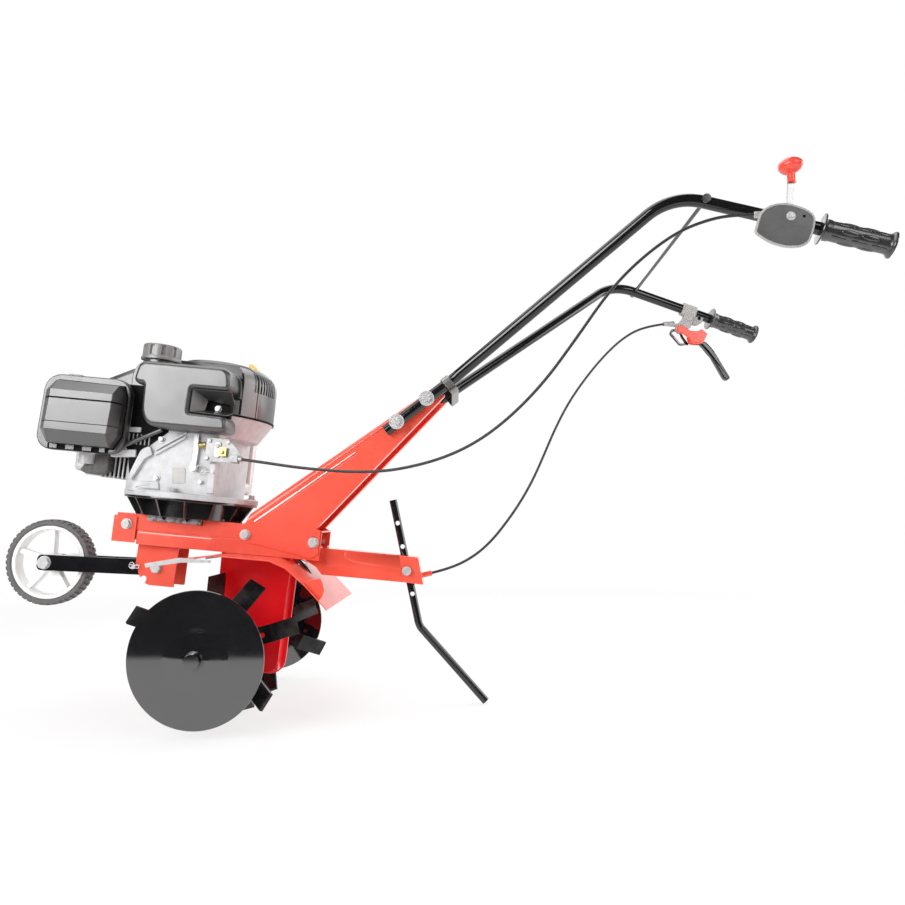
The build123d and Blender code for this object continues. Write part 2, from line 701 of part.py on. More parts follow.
def worm_wheel():
    tip = WHEEL_PITCH_R + WORM_MODULE * 0.9
    root = WHEEL_PITCH_R - WORM_MODULE * 1.2
    slope = tan(radians(20))
    middle = 0.42 * WORM_MODULE * 1.5
    points = []
    for tooth in range(WHEEL_TEETH):
        base = 2 * 180 * (tooth + 0.5) / WHEEL_TEETH
        for radius, sign in ((root, -1), (tip, -1), (tip, 1), (root, 1)):
            half = middle + (WHEEL_PITCH_R - radius) * slope
            turn = radians(base) + sign * half / radius
            points.append((radius * cos(turn), radius * sin(turn)))
    wheel = side_plate(points, -WHEEL_FACE / 2, WHEEL_FACE / 2)
    hub = CASE_HALF - SEAT_LIP - TINE_BEARING_WIDTH - AIR
    wheel += cross_rod(0, 0, -hub, hub, WHEEL_HUB_R)
    return wheel - cross_rod(0, 0, -hub, hub, TINE_SHAFT_R + RUN)


def worm_shaft():
    pitch = WORM_MODULE * 3.14159265
    core = WORM_PITCH_R - WORM_MODULE * 1.2
    tip = WORM_PITCH_R + WORM_MODULE * 0.9
    slope = tan(radians(20))
    middle = 0.42 * WORM_MODULE * 1.5
    low = -pitch * WORM_TURNS / 2
    bite = 1.0
    wide = middle + (WORM_PITCH_R - core + bite) * slope
    narrow = middle - (tip - WORM_PITCH_R) * slope
    path = Pos(0, 0, low) * Helix(pitch, pitch * WORM_TURNS, core)
    section = Polygon((core - bite, low - wide), (tip, low - narrow), (tip, low + narrow),
                      (core - bite, low + wide), align=None)
    thread = sweep(Plane.XZ * section, path, is_frenet=True)
    shaft = upright(0, 0, WORM_FOOT, WORM_HEAD, WORM_SHAFT_R)
    shaft += upright(0, 0, low - wide, -low + wide, core)
    return Pos(WORM_X, 0, 0) * (shaft + thread)


def pulley(axis_x, radius, bore):
    """V pulley on a vertical shaft."""
    groove = radius - GROOVE_DEPTH
    shoulder = (PULLEY_HIGH - PULLEY_LOW - BELT_WIDTH) / 2 - AIR
    low, high = PULLEY_LOW + shoulder, PULLEY_HIGH - shoulder
    points = [(bore, PULLEY_LOW), (radius, PULLEY_LOW), (radius, low), (groove, low), (groove, high),
              (radius, high), (radius, PULLEY_HIGH), (bore, PULLEY_HIGH)]
    return turned(points, axis_x, 0)


def drive_belt():
    z_low = (PULLEY_LOW + PULLEY_HIGH - BELT_WIDTH) / 2
    loops = []
    for sink in (BELT_SINK, BELT_SINK + BELT_THICK):
        front = Pos(CRANK_X, 0) * Circle(DRIVE_PULLEY_R - sink)
        rear = Pos(WORM_X, 0) * Circle(DRIVEN_PULLEY_R - sink)
        loops.append(make_hull(front.edges() + rear.edges()))
    return Pos(0, 0, z_low) * extrude(loops[0] - loops[1], BELT_WIDTH)


def tine_shaft():
    shaft = cross_rod(0, 0, -TINE_SHAFT_HALF, TINE_SHAFT_HALF, TINE_SHAFT_R)
    for side in (-1, 1):
        shaft -= rod((-HUB_R, side * CLEVIS_AT, 0), (HUB_R, side * CLEVIS_AT, 0), CLEVIS_R + FIT)
    return shaft


def star_flange(y_low, phase):
    """Welded flange with a bolt hole for each of the four blades of a star."""
    flange = cross_rod(0, 0, y_low, y_low + STAR_FLANGE, STAR_FLANGE_R)
    for quarter in range(4):
        turn = radians(phase + CHASSIS_PITCH + 90 * quarter)
        flange -= cross_rod(BLADE_BOLT_AT * cos(turn), BLADE_BOLT_AT * sin(turn), y_low, y_low + STAR_FLANGE,
                            BOLT_R + FIT)
    return flange


def tine_hub(side):
    """Hub with its two star flanges, drawn on the right for either side."""
    hub = cross_rod(0, 0, HUB_START, HUB_END, HUB_R)
    hub += star_flange(INNER_STAR, INNER_PHASE[side])
    hub += star_flange(OUTER_STAR, OUTER_PHASE[side])
    seat = HUB_END + DISC_THICK
    hub += cross_rod(0, 0, HUB_END, seat, DISC_SEAT_R)
    hub += cross_rod(0, 0, seat, seat + STUB_LENGTH, STUB_R)
    hub -= cross_rod(0, 0, HUB_START, HUB_BORE_END, TINE_SHAFT_R + FIT)
    return hub - rod((-HUB_R, CLEVIS_AT, 0), (HUB_R, CLEVIS_AT, 0), CLEVIS_R + FIT)


def blade(tip, outward):
    """Flat blade along +X, its root on the plane Y = 0, its tip bent outward or inward."""
    thick = BLADE_THICK
    turn = radians(BLADE_BEND)
    knee = (BLADE_BEND_AT, 0)
    end = (knee[0] + tip * cos(turn), tip * sin(turn))
    points = [(BLADE_ROOT, 0), knee, end, (end[0] - thick * sin(turn), end[1] + thick * cos(turn)),
              (knee[0] - thick * tan(turn / 2), thick), (BLADE_ROOT, thick)]
    if not outward:
        points = [(x, thick - y) for x, y in points]
    bar = extrude(Polygon(*points, align=None), BLADE_WIDTH / 2, both=True)
    bar -= cross_rod(BLADE_BOLT_AT, 0, -1, thick + 1, BOLT_R + FIT)
    return bar - cross_rod(BLADE_HOLE_AT, 0, -1, thick + 1, BOLT_R + FIT)


def tine_blades(side):
    """The eight blades of one side, two stars of four, drawn on the right."""
    pieces = []
    inner = (INNER_STAR, INNER_PHASE[side], INNER_TIP, INNER_OUTWARD[side])
    outer = (OUTER_STAR, OUTER_PHASE[side], OUTER_TIP, OUTER_OUTWARD)
    for seat, phase, tip, outward in (inner, outer):
        for quarter in range(4):
            angle = phase + CHASSIS_PITCH + 90 * quarter
            place = Pos(0, seat + STAR_FLANGE, 0) * Rot(0, -angle, 0)
            pieces.append(place * blade(tip, outward[quarter]))
    return pieces


def guard_disc():
    rim = HUB_END - DISC_DISH
    bore = DISC_SEAT_R + FIT
    points = [(bore, HUB_END), (DISC_FLAT_R, HUB_END), (DISC_R, rim), (DISC_R, rim + DISC_THICK),
              (DISC_FLAT_R, HUB_END + DISC_THICK), (bore, HUB_END + DISC_THICK)]
    return spun_across(points)


def rotor_pins():
    """Clevis pins of both hubs and the bolts of the blades."""
    pieces = []
    for side in (-1, 1):
        y = side * CLEVIS_AT
        pin = rod((-HUB_R - 8, y, 0), (HUB_R + 8, y, 0), CLEVIS_R)
        pieces.append(pin + rod((HUB_R + 8, y, 0), (HUB_R + 12, y, 0), CLEVIS_R * 2))
        for seat, phase in ((INNER_STAR, INNER_PHASE[side]), (OUTER_STAR, OUTER_PHASE[side])):
            face = seat + STAR_FLANGE + BLADE_THICK
            for quarter in range(4):
                turn = radians(phase + CHASSIS_PITCH + 90 * quarter)
                x, z = BLADE_BOLT_AT * cos(turn), BLADE_BOLT_AT * sin(turn)
                reach = BLADE_THICK + STAR_FLANGE + 7
                pieces.append(hex_bolt(x, z, side * face, side, reach, washer=BOLT_AF / 2))
    return Compound(pieces)


# Transport wheel

def arm_direction():
    """Unit vector from the wheel axle to the wheel pivot."""
    return Vector(WHEEL_PIVOT[0] - WHEEL_CENTRE[0], 0, WHEEL_PIVOT[1] - WHEEL_CENTRE[1]).normalized()


def lock_pin_at():
    """Place of the lock pin on the wheel arms."""
    point = Vector(WHEEL_PIVOT[0], 0, WHEEL_PIVOT[1]) - arm_direction() * LOCK_PIN_AT
    return point.X, point.Z


def wheel_arm():
    half = WHEEL_ARM_HIGH / 2
    low, high = WHEEL_ARM_INNER, WHEEL_ARM_INNER + WHEEL_ARM_THICK
    way = arm_direction()
    up = Vector(-way.Z, 0, way.X) * half
    start = Vector(WHEEL_CENTRE[0], 0, WHEEL_CENTRE[1]) - way * half
    end = Vector(WHEEL_PIVOT[0], 0, WHEEL_PIVOT[1]) + way * half
    corners = [start - up, end - up, end + up, start + up]
    arm = side_plate([(c.X, c.Z) for c in corners], low, high, corner=half * 0.6)
    arm -= cross_rod(*WHEEL_CENTRE, low, high, AXLE_R + FIT)
    arm -= cross_rod(*WHEEL_PIVOT, low, high, WHEEL_PIVOT_R + RUN)
    return arm - cross_rod(*lock_pin_at(), low, high, LOCK_PIN_R + FIT)


def wheel_rim():
    half = RIM_WIDTH / 2
    hub_half = WHEEL_ARM_INNER - AIR
    rim = cross_rod(0, 0, -half, half, RIM_R) - cross_rod(0, 0, -half, half, RIM_R - RIM_WALL)
    for spoke in range(SPOKES):
        bar = block(WHEEL_HUB_R - 3, RIM_R - RIM_WALL + 2, -half * 0.7, half * 0.7, -6, 6)
        rim += Rot(0, 360 * spoke / SPOKES + 30, 0) * bar
    rim += cross_rod(0, 0, -hub_half, hub_half, WHEEL_HUB_R)
    rim -= cross_rod(0, 0, -hub_half, hub_half, AXLE_R + RUN)
    return Pos(WHEEL_CENTRE[0], 0, WHEEL_CENTRE[1]) * rim


def wheel_tyre():
    half = TYRE_WIDTH / 2
    seat = RIM_R + FIT
    points = [(seat, -half + 2), (WHEEL_R - 5, -half), (WHEEL_R, -half + 6), (WHEEL_R, half - 6),
              (WHEEL_R - 5, half), (seat, half - 2)]
    return Pos(WHEEL_CENTRE[0], 0, WHEEL_CENTRE[1]) * spun_across(points)


def wheel_axle():
    outside = WHEEL_ARM_INNER + WHEEL_ARM_THICK
    half = hex_bolt(*WHEEL_CENTRE, -outside, -1, outside, af=19, washer=12, radius=AXLE_R)
    return half + left_of(half)


def wheel_lock_pin():
    x, z = lock_pin_at()
    reach = WHEEL_ARM_INNER + WHEEL_ARM_THICK + AIR + BRACKET_PLATE + 9
    pin = cross_rod(x, z, -reach, reach, LOCK_PIN_R)
    return pin + cross_rod(x, z, reach, reach + 4, LOCK_PIN_R * 2.2)


# Drag stake

def ground_height(x, z):
    """Height over the tine shaft of a chassis point, once the machine is leaned back."""
    return z * cos(radians(CHASSIS_PITCH)) - x * sin(radians(CHASSIS_PITCH))


def depth_stake(axle_height):
    pin = Vector(STAKE_PIN[0], 0, STAKE_PIN[1])
    top = pin - stake_direction() * STAKE_ABOVE
    bend = pin + stake_direction() * STAKE_BELOW
    kick = Vector(cos(radians(STAKE_KICK)), 0, -sin(radians(STAKE_KICK)))
    fall = radians(STAKE_KICK + CHASSIS_PITCH)
    drop = ground_height(bend.X, bend.Z) + axle_height - STAKE_R * cos(fall)
    tip = bend + kick * (drop / sin(fall))
    path = FilletPolyline(top, bend, tip, radius=STAKE_BEND_R)
    start = Plane(origin=top, z_dir=stake_direction())
    tube = sweep(start * Circle(STAKE_R), path)
    for hole in range(-1, 3):
        spot = pin - stake_direction() * (STAKE_HOLE_PITCH * hole)
        tube -= cross_rod(spot.X, spot.Z, -STAKE_R, STAKE_R, STAKE_PIN_R + RUN)
    return tube


def stake_pin():
    pin = cross_rod(*STAKE_PIN, -ARM_HALF - 3, ARM_HALF + 9, STAKE_PIN_R)
    return pin + cross_rod(*STAKE_PIN, -ARM_HALF - 8, -ARM_HALF - 0.3, STAKE_PIN_R * 2)


# Handles and controls

def handle_tube():
    points = [(TUBE_START[0], TUBE_Y, TUBE_START[1]), (TUBE_SPLAY[0], TUBE_Y, TUBE_SPLAY[1]),
              TUBE_BEND, TUBE_END]
    path = FilletPolyline(*points, radius=[SPLAY_RADIUS, BEND_RADIUS])
    start = Plane(origin=points[0], z_dir=foot_direction())
    tube = sweep(start * (Circle(TUBE_R) - Circle(TUBE_R - TUBE_WALL)), path)
    for point in HANDLE_BOLTS:
        tube -= cross_rod(point.X, point.Z, COLUMN_SIDE, TUBE_Y + TUBE_R + 1, BOLT_R + FIT)
    spot = on_tube(BRACE_BACK)
    return tube - cross_rod(spot.X, spot.Z, spot.Y - 20, spot.Y + 20, BRACE_R + FIT)


def brace_rod():
    spot = on_tube(BRACE_BACK)
    end = spot.Y + TUBE_R + 2
    rod_y = cross_rod(spot.X, spot.Z, -end, end, BRACE_R)
    head = cross_rod(spot.X, spot.Z, end, end + 5, BRACE_R * 2)
    return rod_y + head + left_of(head)


def tube_strap():
    centre = Vector(TUBE_SPLAY[0], 0, TUBE_SPLAY[1]) - foot_direction() * (STRAP_BACK + STRAP_WIDTH)
    plane = Plane(origin=centre, x_dir=(0, 1, 0), z_dir=foot_direction())
    top = TUBE_R + 2 * FIT
    low = top - STRAP_WALL - STRAP_DROP
    middle = (top + low) / 2
    wide, high = 2 * (TUBE_Y + top), top - low
    wall = 2 * STRAP_WALL
    ring = RectangleRounded(wide + wall, high + wall, STRAP_CORNER + STRAP_WALL)
    ring -= RectangleRounded(wide, high, STRAP_CORNER)
    return extrude(plane * (Pos(0, middle) * ring), STRAP_WIDTH, dir=foot_direction())


def grip():
    bore = TUBE_R + FIT
    bead = GRIP_LENGTH - GRIP_FLANGE
    points = [(bore, 0), (GRIP_FLANGE_R, 0), (GRIP_FLANGE_R, GRIP_FLANGE), (GRIP_R, GRIP_FLANGE),
              (GRIP_R, bead), (GRIP_END_R, bead), (GRIP_END_R, GRIP_LENGTH), (0, GRIP_LENGTH),
              (0, GRIP_LENGTH - GRIP_CAP), (bore, GRIP_LENGTH - GRIP_CAP)]
    sleeve = revolve(Plane.XZ * Polygon(*points, align=None), Axis.Z)
    return Plane(origin=on_tube(GRIP_FROM), z_dir=tube_direction()) * sleeve


def throttle_case():
    """Thin shell in front of the left tube, with a clamp round the tube."""
    x, z = THROTTLE_PIVOT
    far = THROTTLE_NEAR + THROTTLE_SHELL
    shape = Polygon(*[(x + a, z + b) for a, b in THROTTLE_OUTLINE], align=None)
    shape = fillet(shape.vertices(), THROTTLE_CORNER)
    case = extrude(seen_from_left(far) * shape, THROTTLE_SHELL, dir=(0, -1, 0))
    near_rim = case.faces().sort_by(Axis.Y)[0].edges()
    case = chamfer(near_rim, THROTTLE_BEVEL)
    start, end = on_tube(0), on_tube(TUBE_RUN)
    middle = on_tube(x - TUBE_BEND[0])
    half = tube_direction() * (THROTTLE_CLAMP_LENGTH / 2)
    case += left_of(rod(middle - half, middle + half, TUBE_R + THROTTLE_CLAMP_WALL))
    lever_far = THROTTLE_LEVER_NEAR + THROTTLE_LEVER_THICK
    spread = 60 * tan(radians(THROTTLE_SWING))
    room = side_plate([(x - 12, z - 12), (x - spread, z + 60), (x + spread, z + 60), (x + 12, z - 12)],
                      THROTTLE_LEVER_NEAR - AIR, lever_far + AIR)
    case -= room
    case += cross_rod(x, z, THROTTLE_NEAR, lever_far + AIR, THROTTLE_PIN_R)
    case -= left_of(rod(start, end, TUBE_R + FIT))
    socket = Vector(*THROTTLE_ROUTE[-1])
    way = (socket - Vector(*THROTTLE_ROUTE[-2])).normalized()
    nose = rod(socket, socket + way * 30, CABLE_R * 2)
    return case + (nose - left_of(rod(start, end, TUBE_R + FIT)) - room)


def throttle_lever():
    x, z = THROTTLE_PIVOT
    low, high = THROTTLE_LEVER_NEAR, THROTTLE_LEVER_NEAR + THROTTLE_LEVER_THICK
    half = THROTTLE_LEVER_WIDTH / 2
    lever = cross_rod(x, z, low, high, THROTTLE_HUB_R)
    lever += block(x - half, x + half, low, high, z, z + THROTTLE_LEVER_TOP)
    return lever - cross_rod(x, z, low, high, THROTTLE_PIN_R + RUN)


def throttle_knob():
    x, z = THROTTLE_PIVOT
    y = THROTTLE_LEVER_NEAR + THROTTLE_LEVER_THICK / 2
    seat = z + KNOB_SEAT
    neck_top = seat + KNOB_NECK
    half = KNOB_HEIGHT / 2
    neck = upright(x, y, seat, neck_top + half, KNOB_NECK_R)
    dome = Pos(x, y, neck_top + half) * scale(Sphere(KNOB_R), by=(1, 1, half / KNOB_R))
    wide = THROTTLE_LEVER_WIDTH / 2 + FIT
    deep = THROTTLE_LEVER_THICK / 2 + FIT
    return neck + dome - block(x - wide, x + wide, y - deep, y + deep, seat, z + THROTTLE_LEVER_TOP + FIT)


def clutch_plane():
    """Middle Y of the clutch lever, under the right tube."""
    return on_tube(CLUTCH_CLAMP_BACK).Y


def clutch_clamp():
    spot = on_tube(CLUTCH_CLAMP_BACK)
    half = tube_direction() * (CLUTCH_CLAMP_LENGTH / 2)
    ring = rod(spot - half, spot + half, TUBE_R + CLUTCH_CLAMP_WALL)
    y = clutch_plane()
    gap = CLUTCH_LEVER_THICK / 2 + AIR
    x, z = CLUTCH_PIVOT
    outline = [(x - 11, z - 9), (x - 11, z + 12), (spot.X - 13, spot.Z + 2), (spot.X + 13, spot.Z - 3),
               (x + 12, z - 9)]
    low, high = y - gap - CLUTCH_CHEEK, y + gap + CLUTCH_CHEEK
    clamp = ring + side_plate(outline, low, high)
    clamp -= block(x - 40, x + 90, y - gap, y + gap, z - 40, z + 17)
    clamp -= rod(on_tube(CLUTCH_CLAMP_BACK - 60), on_tube(CLUTCH_CLAMP_BACK + 60), TUBE_R + FIT)
    clamp += cross_rod(x, z, low, high + LATCH_THICK + 2, CLUTCH_PIN_R)
    socket = Vector(*CLUTCH_ROUTE[-1])
    way = (socket - Vector(*CLUTCH_ROUTE[-2])).normalized()
    barrel = rod(socket, socket + way * 18, CABLE_R * 2)
    bridge = block(x - 30, x - 11, low, high, z + 7, z + 12)
    return clamp + barrel + bridge


def clutch_lever():
    x, z = CLUTCH_PIVOT
    y = clutch_plane()
    low, high = y - CLUTCH_LEVER_THICK / 2, y + CLUTCH_LEVER_THICK / 2
    bx, bz = CLUTCH_BAR_START
    outline = [(x - 8, z - 7), (x - 6, z + 9), (x + 12, z + 6), (bx + 2, bz + 10), (bx + 4, bz - 2),
               (bx - 10, bz - 8)]
    lever = side_plate(outline, low, high)
    return lever - cross_rod(x, z, low, high, CLUTCH_PIN_R + RUN)


def clutch_bar():
    start = Vector(CLUTCH_BAR_START[0], 0, CLUTCH_BAR_START[1])
    tip = Vector(CLUTCH_BAR_TIP[0], 0, CLUTCH_BAR_TIP[1])
    way = (tip - start).normalized()
    up = Vector(-way.Z, 0, way.X) * (CLUTCH_BAR_WIDTH / 2)
    y = clutch_plane()
    corners = [start - up, tip - up, tip + up, start + up]
    half = CLUTCH_BAR_THICK / 2
    bar = side_plate([(c.X, c.Z) for c in corners], y - half, y + half, corner=4)
    return bar - clutch_lever()


def clutch_latch():
    x, z = CLUTCH_PIVOT
    near = clutch_plane() + CLUTCH_LEVER_THICK / 2 + AIR + CLUTCH_CHEEK + FIT
    half = LATCH_WIDTH / 2
    outline = [(x - 22, z - half), (x + 2, z - half - 1), (x + 22, z - 30), (x + 28, z - 26),
               (x + 6, z + half + 1), (x - 22, z + half)]
    latch = side_plate(outline, near, near + LATCH_THICK)
    return latch - cross_rod(x, z, near, near + LATCH_THICK, CLUTCH_PIN_R + RUN)


# Engine

def ring_sector(z_low, z_high, low_r, high_r, bore):
    """Conical ring about the crankshaft."""
    return turned([(bore, z_low), (low_r, z_low), (high_r, z_high), (bore, z_high)], CRANK_X, 0)


def base_ring():
    z_low = DECK_TOP
    shell = SHEET + 1
    ring = ring_sector(z_low, RING_TOP, RING_BODY_R, RING_BODY_R, RING_BODY_R - shell)
    ring += ring_sector(RING_TOP - shell, RING_TOP, RING_TOP_R, RING_TOP_R, RING_BODY_R - shell)
    root = RING_BODY_R - RING_RIB_ROOT
    tip = RING_TOP_R - RING_RIB_ROOT
    rib = side_plate([(root, z_low), (RING_FOOT_R, z_low), (tip, RING_TOP), (root, RING_TOP)],
                     -SHEET / 2, SHEET / 2)
    for step in range(RING_RIBS):
        ring += Pos(CRANK_X, 0, 0) * Rot(0, 0, 360 * step / RING_RIBS) * rib
    return ring


def deck_pad():
    return block(PAD_FRONT, PAD_REAR, -DECK_SIDE - PAD_WIDTH, -DECK_SIDE, DECK_TOP - PAD_DROP,
                 DECK_TOP + PAD_PROUD)


def fan_bowl(z_low, shrink):
    """Bowl under the blower housing, flat towards the tank."""
    grade = (BLOWER_R - BOWL_LOW_R) / (BLOWER_BOTTOM - BOWL_LOW)
    low_r = BOWL_LOW_R + grade * (z_low - BOWL_LOW) - shrink
    top_r = BLOWER_R - shrink
    bowl = ring_sector(z_low, BLOWER_BOTTOM, low_r, top_r, 0)
    return bowl - block(-BEYOND, BEYOND, -BEYOND, BLOWER_STEP_FLAT + AIR + shrink, z_low, BLOWER_BOTTOM)


def crankcase():
    plan = Rectangle(2 * CASE_HALF_X, 2 * CASE_HALF_Y)
    plan = fillet(plan.vertices(), CRANKCASE_CORNER)
    low = RING_TOP + FLANGE_THICK
    body = Pos(CRANK_X, 0, low) * extrude(plan, CRANKCASE_TOP - low)
    body += upright(CRANK_X, 0, RING_TOP, low, FLANGE_R)
    room = offset(plan, -CRANKCASE_WALL)
    body += fan_bowl(BOWL_LOW, 0)
    body -= Pos(CRANK_X, 0, low) * extrude(room, CRANKCASE_TOP - CRANKCASE_WALL - low)
    body -= fan_bowl(CRANKCASE_TOP, BOWL_WALL)
    body -= block(NOSE_FRONT, CRANK_X, -NOSE_HALF, NOSE_HALF + AIR, CRANKCASE_TOP, BLOWER_BOTTOM)
    return body - upright(CRANK_X, 0, RING_TOP, CRANKCASE_TOP, CRANK_R + RUN)


def cylinder():
    start = CRANK_X - CASE_HALF_X
    end = start - FIN_PITCH * FIN_COUNT
    barrel = rod((start, 0, CYLINDER_Z), (end, 0, CYLINDER_Z), CYLINDER_R)
    for fin in range(FIN_COUNT):
        x = start - FIN_PITCH * (fin + 0.6)
        barrel += block(x - FIN_THICK, x, -FIN_HALF_Y, FIN_HALF_Y, CYLINDER_Z - FIN_HALF_Z,
                        CYLINDER_Z + FIN_HALF_Z)
    return barrel - rod((start, 0, CYLINDER_Z), (end, 0, CYLINDER_Z), CYLINDER_R - 9)


HEAD_BACK = CRANK_X - CASE_HALF_X - FIN_PITCH * FIN_COUNT


def cylinder_head():
    wide, high = FIN_HALF_Y - HEAD_INSET, FIN_HALF_Z - HEAD_INSET / 2
    head = block(HEAD_BACK - HEAD_LENGTH, HEAD_BACK, -wide, wide, CYLINDER_Z - high, CYLINDER_Z + high)
    return chamfer(head.edges().filter_by(Axis.X), 8)


def rocker_cover():
    front = HEAD_BACK - HEAD_LENGTH
    wide, high = FIN_HALF_Y - 12, FIN_HALF_Z - 8
    cover = block(front - ROCKER_LENGTH, front, -wide, wide, CYLINDER_Z - high, CYLINDER_Z + high)
    return fillet(cover.edges().filter_by(Axis.X) + cover.faces().sort_by(Axis.X)[0].edges(), 8)


def blower_round(shrink):
    """Round body of the blower housing with a round shoulder and a flat side towards the tank."""
    top = BLOWER_TOP - shrink
    body = upright(CRANK_X, 0, BLOWER_BOTTOM, top, BLOWER_R - shrink)
    rim = body.edges().filter_by(GeomType.CIRCLE).sort_by(Axis.Z)[-1]
    body = fillet(rim, BLOWER_SHOULDER - shrink)
    return body - block(-BEYOND, BEYOND, -BEYOND, BLOWER_FLAT + shrink, BLOWER_BOTTOM, top)


def blower_step(shrink):
    """Lower part of the blower housing that reaches out under the tank."""
    top = BLOWER_STEP - shrink
    body = upright(CRANK_X, 0, BLOWER_BOTTOM, top, BLOWER_R - shrink)
    return body - block(-BEYOND, BEYOND, -BEYOND, BLOWER_STEP_FLAT + shrink, BLOWER_BOTTOM, top)


def blower_nose(shrink):
    """Duct from the blower housing down to the cylinder, its top sloping up to the rear."""
    front = NOSE_FRONT + shrink
    crest = NOSE_CREST[1] - shrink
    outline = [(front, CRANKCASE_TOP), (front, NOSE_FRONT_TOP - shrink), (NOSE_CREST[0], crest),
               (NOSE_REAR, crest), (NOSE_REAR, CRANKCASE_TOP)]
    nose = side_plate(outline, AIR * 8 - NOSE_HALF + shrink, NOSE_HALF - shrink)
    if shrink:
        return nose
    edges = nose.edges().filter_by(lambda e: e.center().Z > NOSE_FRONT_TOP)
    upper = edges.filter_by(lambda e: abs(e.center().Y) > NOSE_HALF - 5)
    return chamfer(upper, NOSE_CORNER)


def blower_housing():
    shell = blower_round(0) + blower_step(0) + blower_nose(0)
    shell -= blower_round(BLOWER_WALL)
    shell -= blower_step(BLOWER_WALL)
    shell -= blower_nose(BLOWER_WALL + NOSE_CORNER / 2)
    x, y = CRANK_X + STARTER_SHIFT[0], STARTER_SHIFT[1]
    shell -= upright(x, y, BLOWER_TOP - BLOWER_WALL, BLOWER_TOP, STARTER_MOUTH_R)
    x, y = STARTER_EXIT
    shell += rod((x, y - STARTER_EYE_LENGTH, STARTER_Z), (x, y, STARTER_Z), STARTER_EYE_R)
    return shell - rod((x, y - STARTER_EYE_BORE, STARTER_Z), (x, y, STARTER_Z), ROPE_R + AIR)


def starter_cover():
    x, y = CRANK_X + STARTER_SHIFT[0], STARTER_SHIFT[1]
    bevel = STARTER_TOP - BLOWER_TOP
    profile = [(0, BLOWER_TOP), (STARTER_R, BLOWER_TOP), (STARTER_R - bevel, STARTER_TOP), (0, STARTER_TOP)]
    cap = turned(profile, x, y)
    return cap - upright(x, y, BLOWER_TOP, STARTER_TOP - BLOWER_WALL, STARTER_MOUTH_R)


def starter_grip():
    x, y = STARTER_EXIT
    near = y + AIR
    stem = rod((x, near, STARTER_Z), (x, near + STARTER_STEM, STARTER_Z), STARTER_STEM_R)
    out = near + STARTER_BAR_OUT
    bar = rod((x - STARTER_BAR_HALF, out, STARTER_Z), (x + STARTER_BAR_HALF, out, STARTER_Z), STARTER_BAR_R)
    rope = rod((x, near - ROPE_INSIDE, STARTER_Z), (x, near + ROPE_IN_STEM, STARTER_Z), ROPE_R)
    return stem + bar + rope


def tank_body(shrink):
    """Fuel tank body: full height beside the blower housing, only its top part over the housing's step."""
    x = CRANK_X
    front, rear = TANK_FOOT
    outline = [(x + along, TANK_TOP + down) for along, down in TANK_UPPER]
    outline += [(x + rear, TANK_BOTTOM), (x + front, TANK_BOTTOM)]
    outline += [(x + along, TANK_TOP + down) for along, down in TANK_STEP]
    shape = fillet(Polygon(*outline, align=None).vertices(), TANK_CORNER)
    if shrink:
        shape = offset(shape, -shrink)
    far = BLOWER_FLAT - shrink
    near = TANK_NEAR + shrink * 2
    body = extrude(seen_from_left(far) * shape, far - near, dir=(0, -1, 0))
    return body - block(-BEYOND, BEYOND, BLOWER_STEP_FLAT - shrink, 0, 0, BLOWER_STEP + shrink)


def fuel_tank():
    x = CRANK_X
    recess = (x + TANK_NOTCH_X, BEYOND, -BEYOND, TANK_NEAR + TANK_NOTCH_DEEP, TANK_NOTCH_LOW, TANK_NOTCH_HIGH)
    wall = TANK_WALL
    body = tank_body(0)
    body = chamfer(body.faces().sort_by(Axis.Y)[0].edges(), TANK_EDGE)
    body -= block(*recess)
    room = tank_body(wall)
    x_low, x_high, y_low, y_high, z_low, z_high = recess
    room -= block(x_low - wall, x_high, y_low, y_high + wall, z_low - wall, z_high + wall)
    body -= room
    body += upright(*CAP_AT, TANK_TOP - wall, NECK_TOP, NECK_R)
    return body - upright(*CAP_AT, TANK_TOP - wall - 1, NECK_TOP, NECK_R - wall)


def fuel_cap():
    skirt = NECK_TOP - 8
    top = skirt + CAP_HEIGHT
    cap = upright(*CAP_AT, skirt, top, CAP_R - 3)
    for lobe in range(10):
        turn = radians(36 * lobe)
        x, y = CAP_AT[0] + (CAP_R - 6) * cos(turn), CAP_AT[1] + (CAP_R - 6) * sin(turn)
        cap += upright(x, y, skirt + 3, top - 2, 6)
    return cap - upright(*CAP_AT, skirt, NECK_TOP + AIR, NECK_R + AIR)


def filter_outline(shrink):
    """Side outline of the air filter box."""
    front, rear = FILTER_FRONT + shrink, FILTER_REAR - shrink
    low, high = FILTER_LOW + shrink, FILTER_HIGH - shrink
    shape = Polygon((front, low), (rear, low), (rear, high), (front, high), align=None)
    return fillet(shape.vertices(), FILTER_CORNER - shrink)


def filter_base():
    deep = FILTER_BACK - FILTER_SPLIT
    left = (0, -1, 0)
    base = extrude(seen_from_left(FILTER_BACK) * filter_outline(FILTER_WALL), deep - AIR, dir=left)
    room = seen_from_left(FILTER_BACK - FILTER_WALL) * filter_outline(2 * FILTER_WALL)
    return base - extrude(room, deep, dir=left)


def filter_cover():
    deep = FILTER_SPLIT - FILTER_NEAR
    left = (0, -1, 0)
    cover = extrude(seen_from_left(FILTER_SPLIT) * filter_outline(0), FILTER_RIM, dir=left)
    face = seen_from_left(FILTER_SPLIT - FILTER_RIM) * filter_outline(FILTER_STEP)
    cover += extrude(face, deep - FILTER_RIM, dir=left, taper=FILTER_TAPER)
    inside = seen_from_left(FILTER_SPLIT) * filter_outline(FILTER_WALL)
    cover -= extrude(inside, FILTER_RIM - FILTER_WALL, dir=left)
    floor = FILTER_SPLIT - FILTER_RIM + FILTER_WALL
    mouth = seen_from_left(floor) * filter_outline(FILTER_STEP + FILTER_WALL)
    return cover - extrude(mouth, deep - FILTER_RIM, dir=left, taper=FILTER_TAPER)


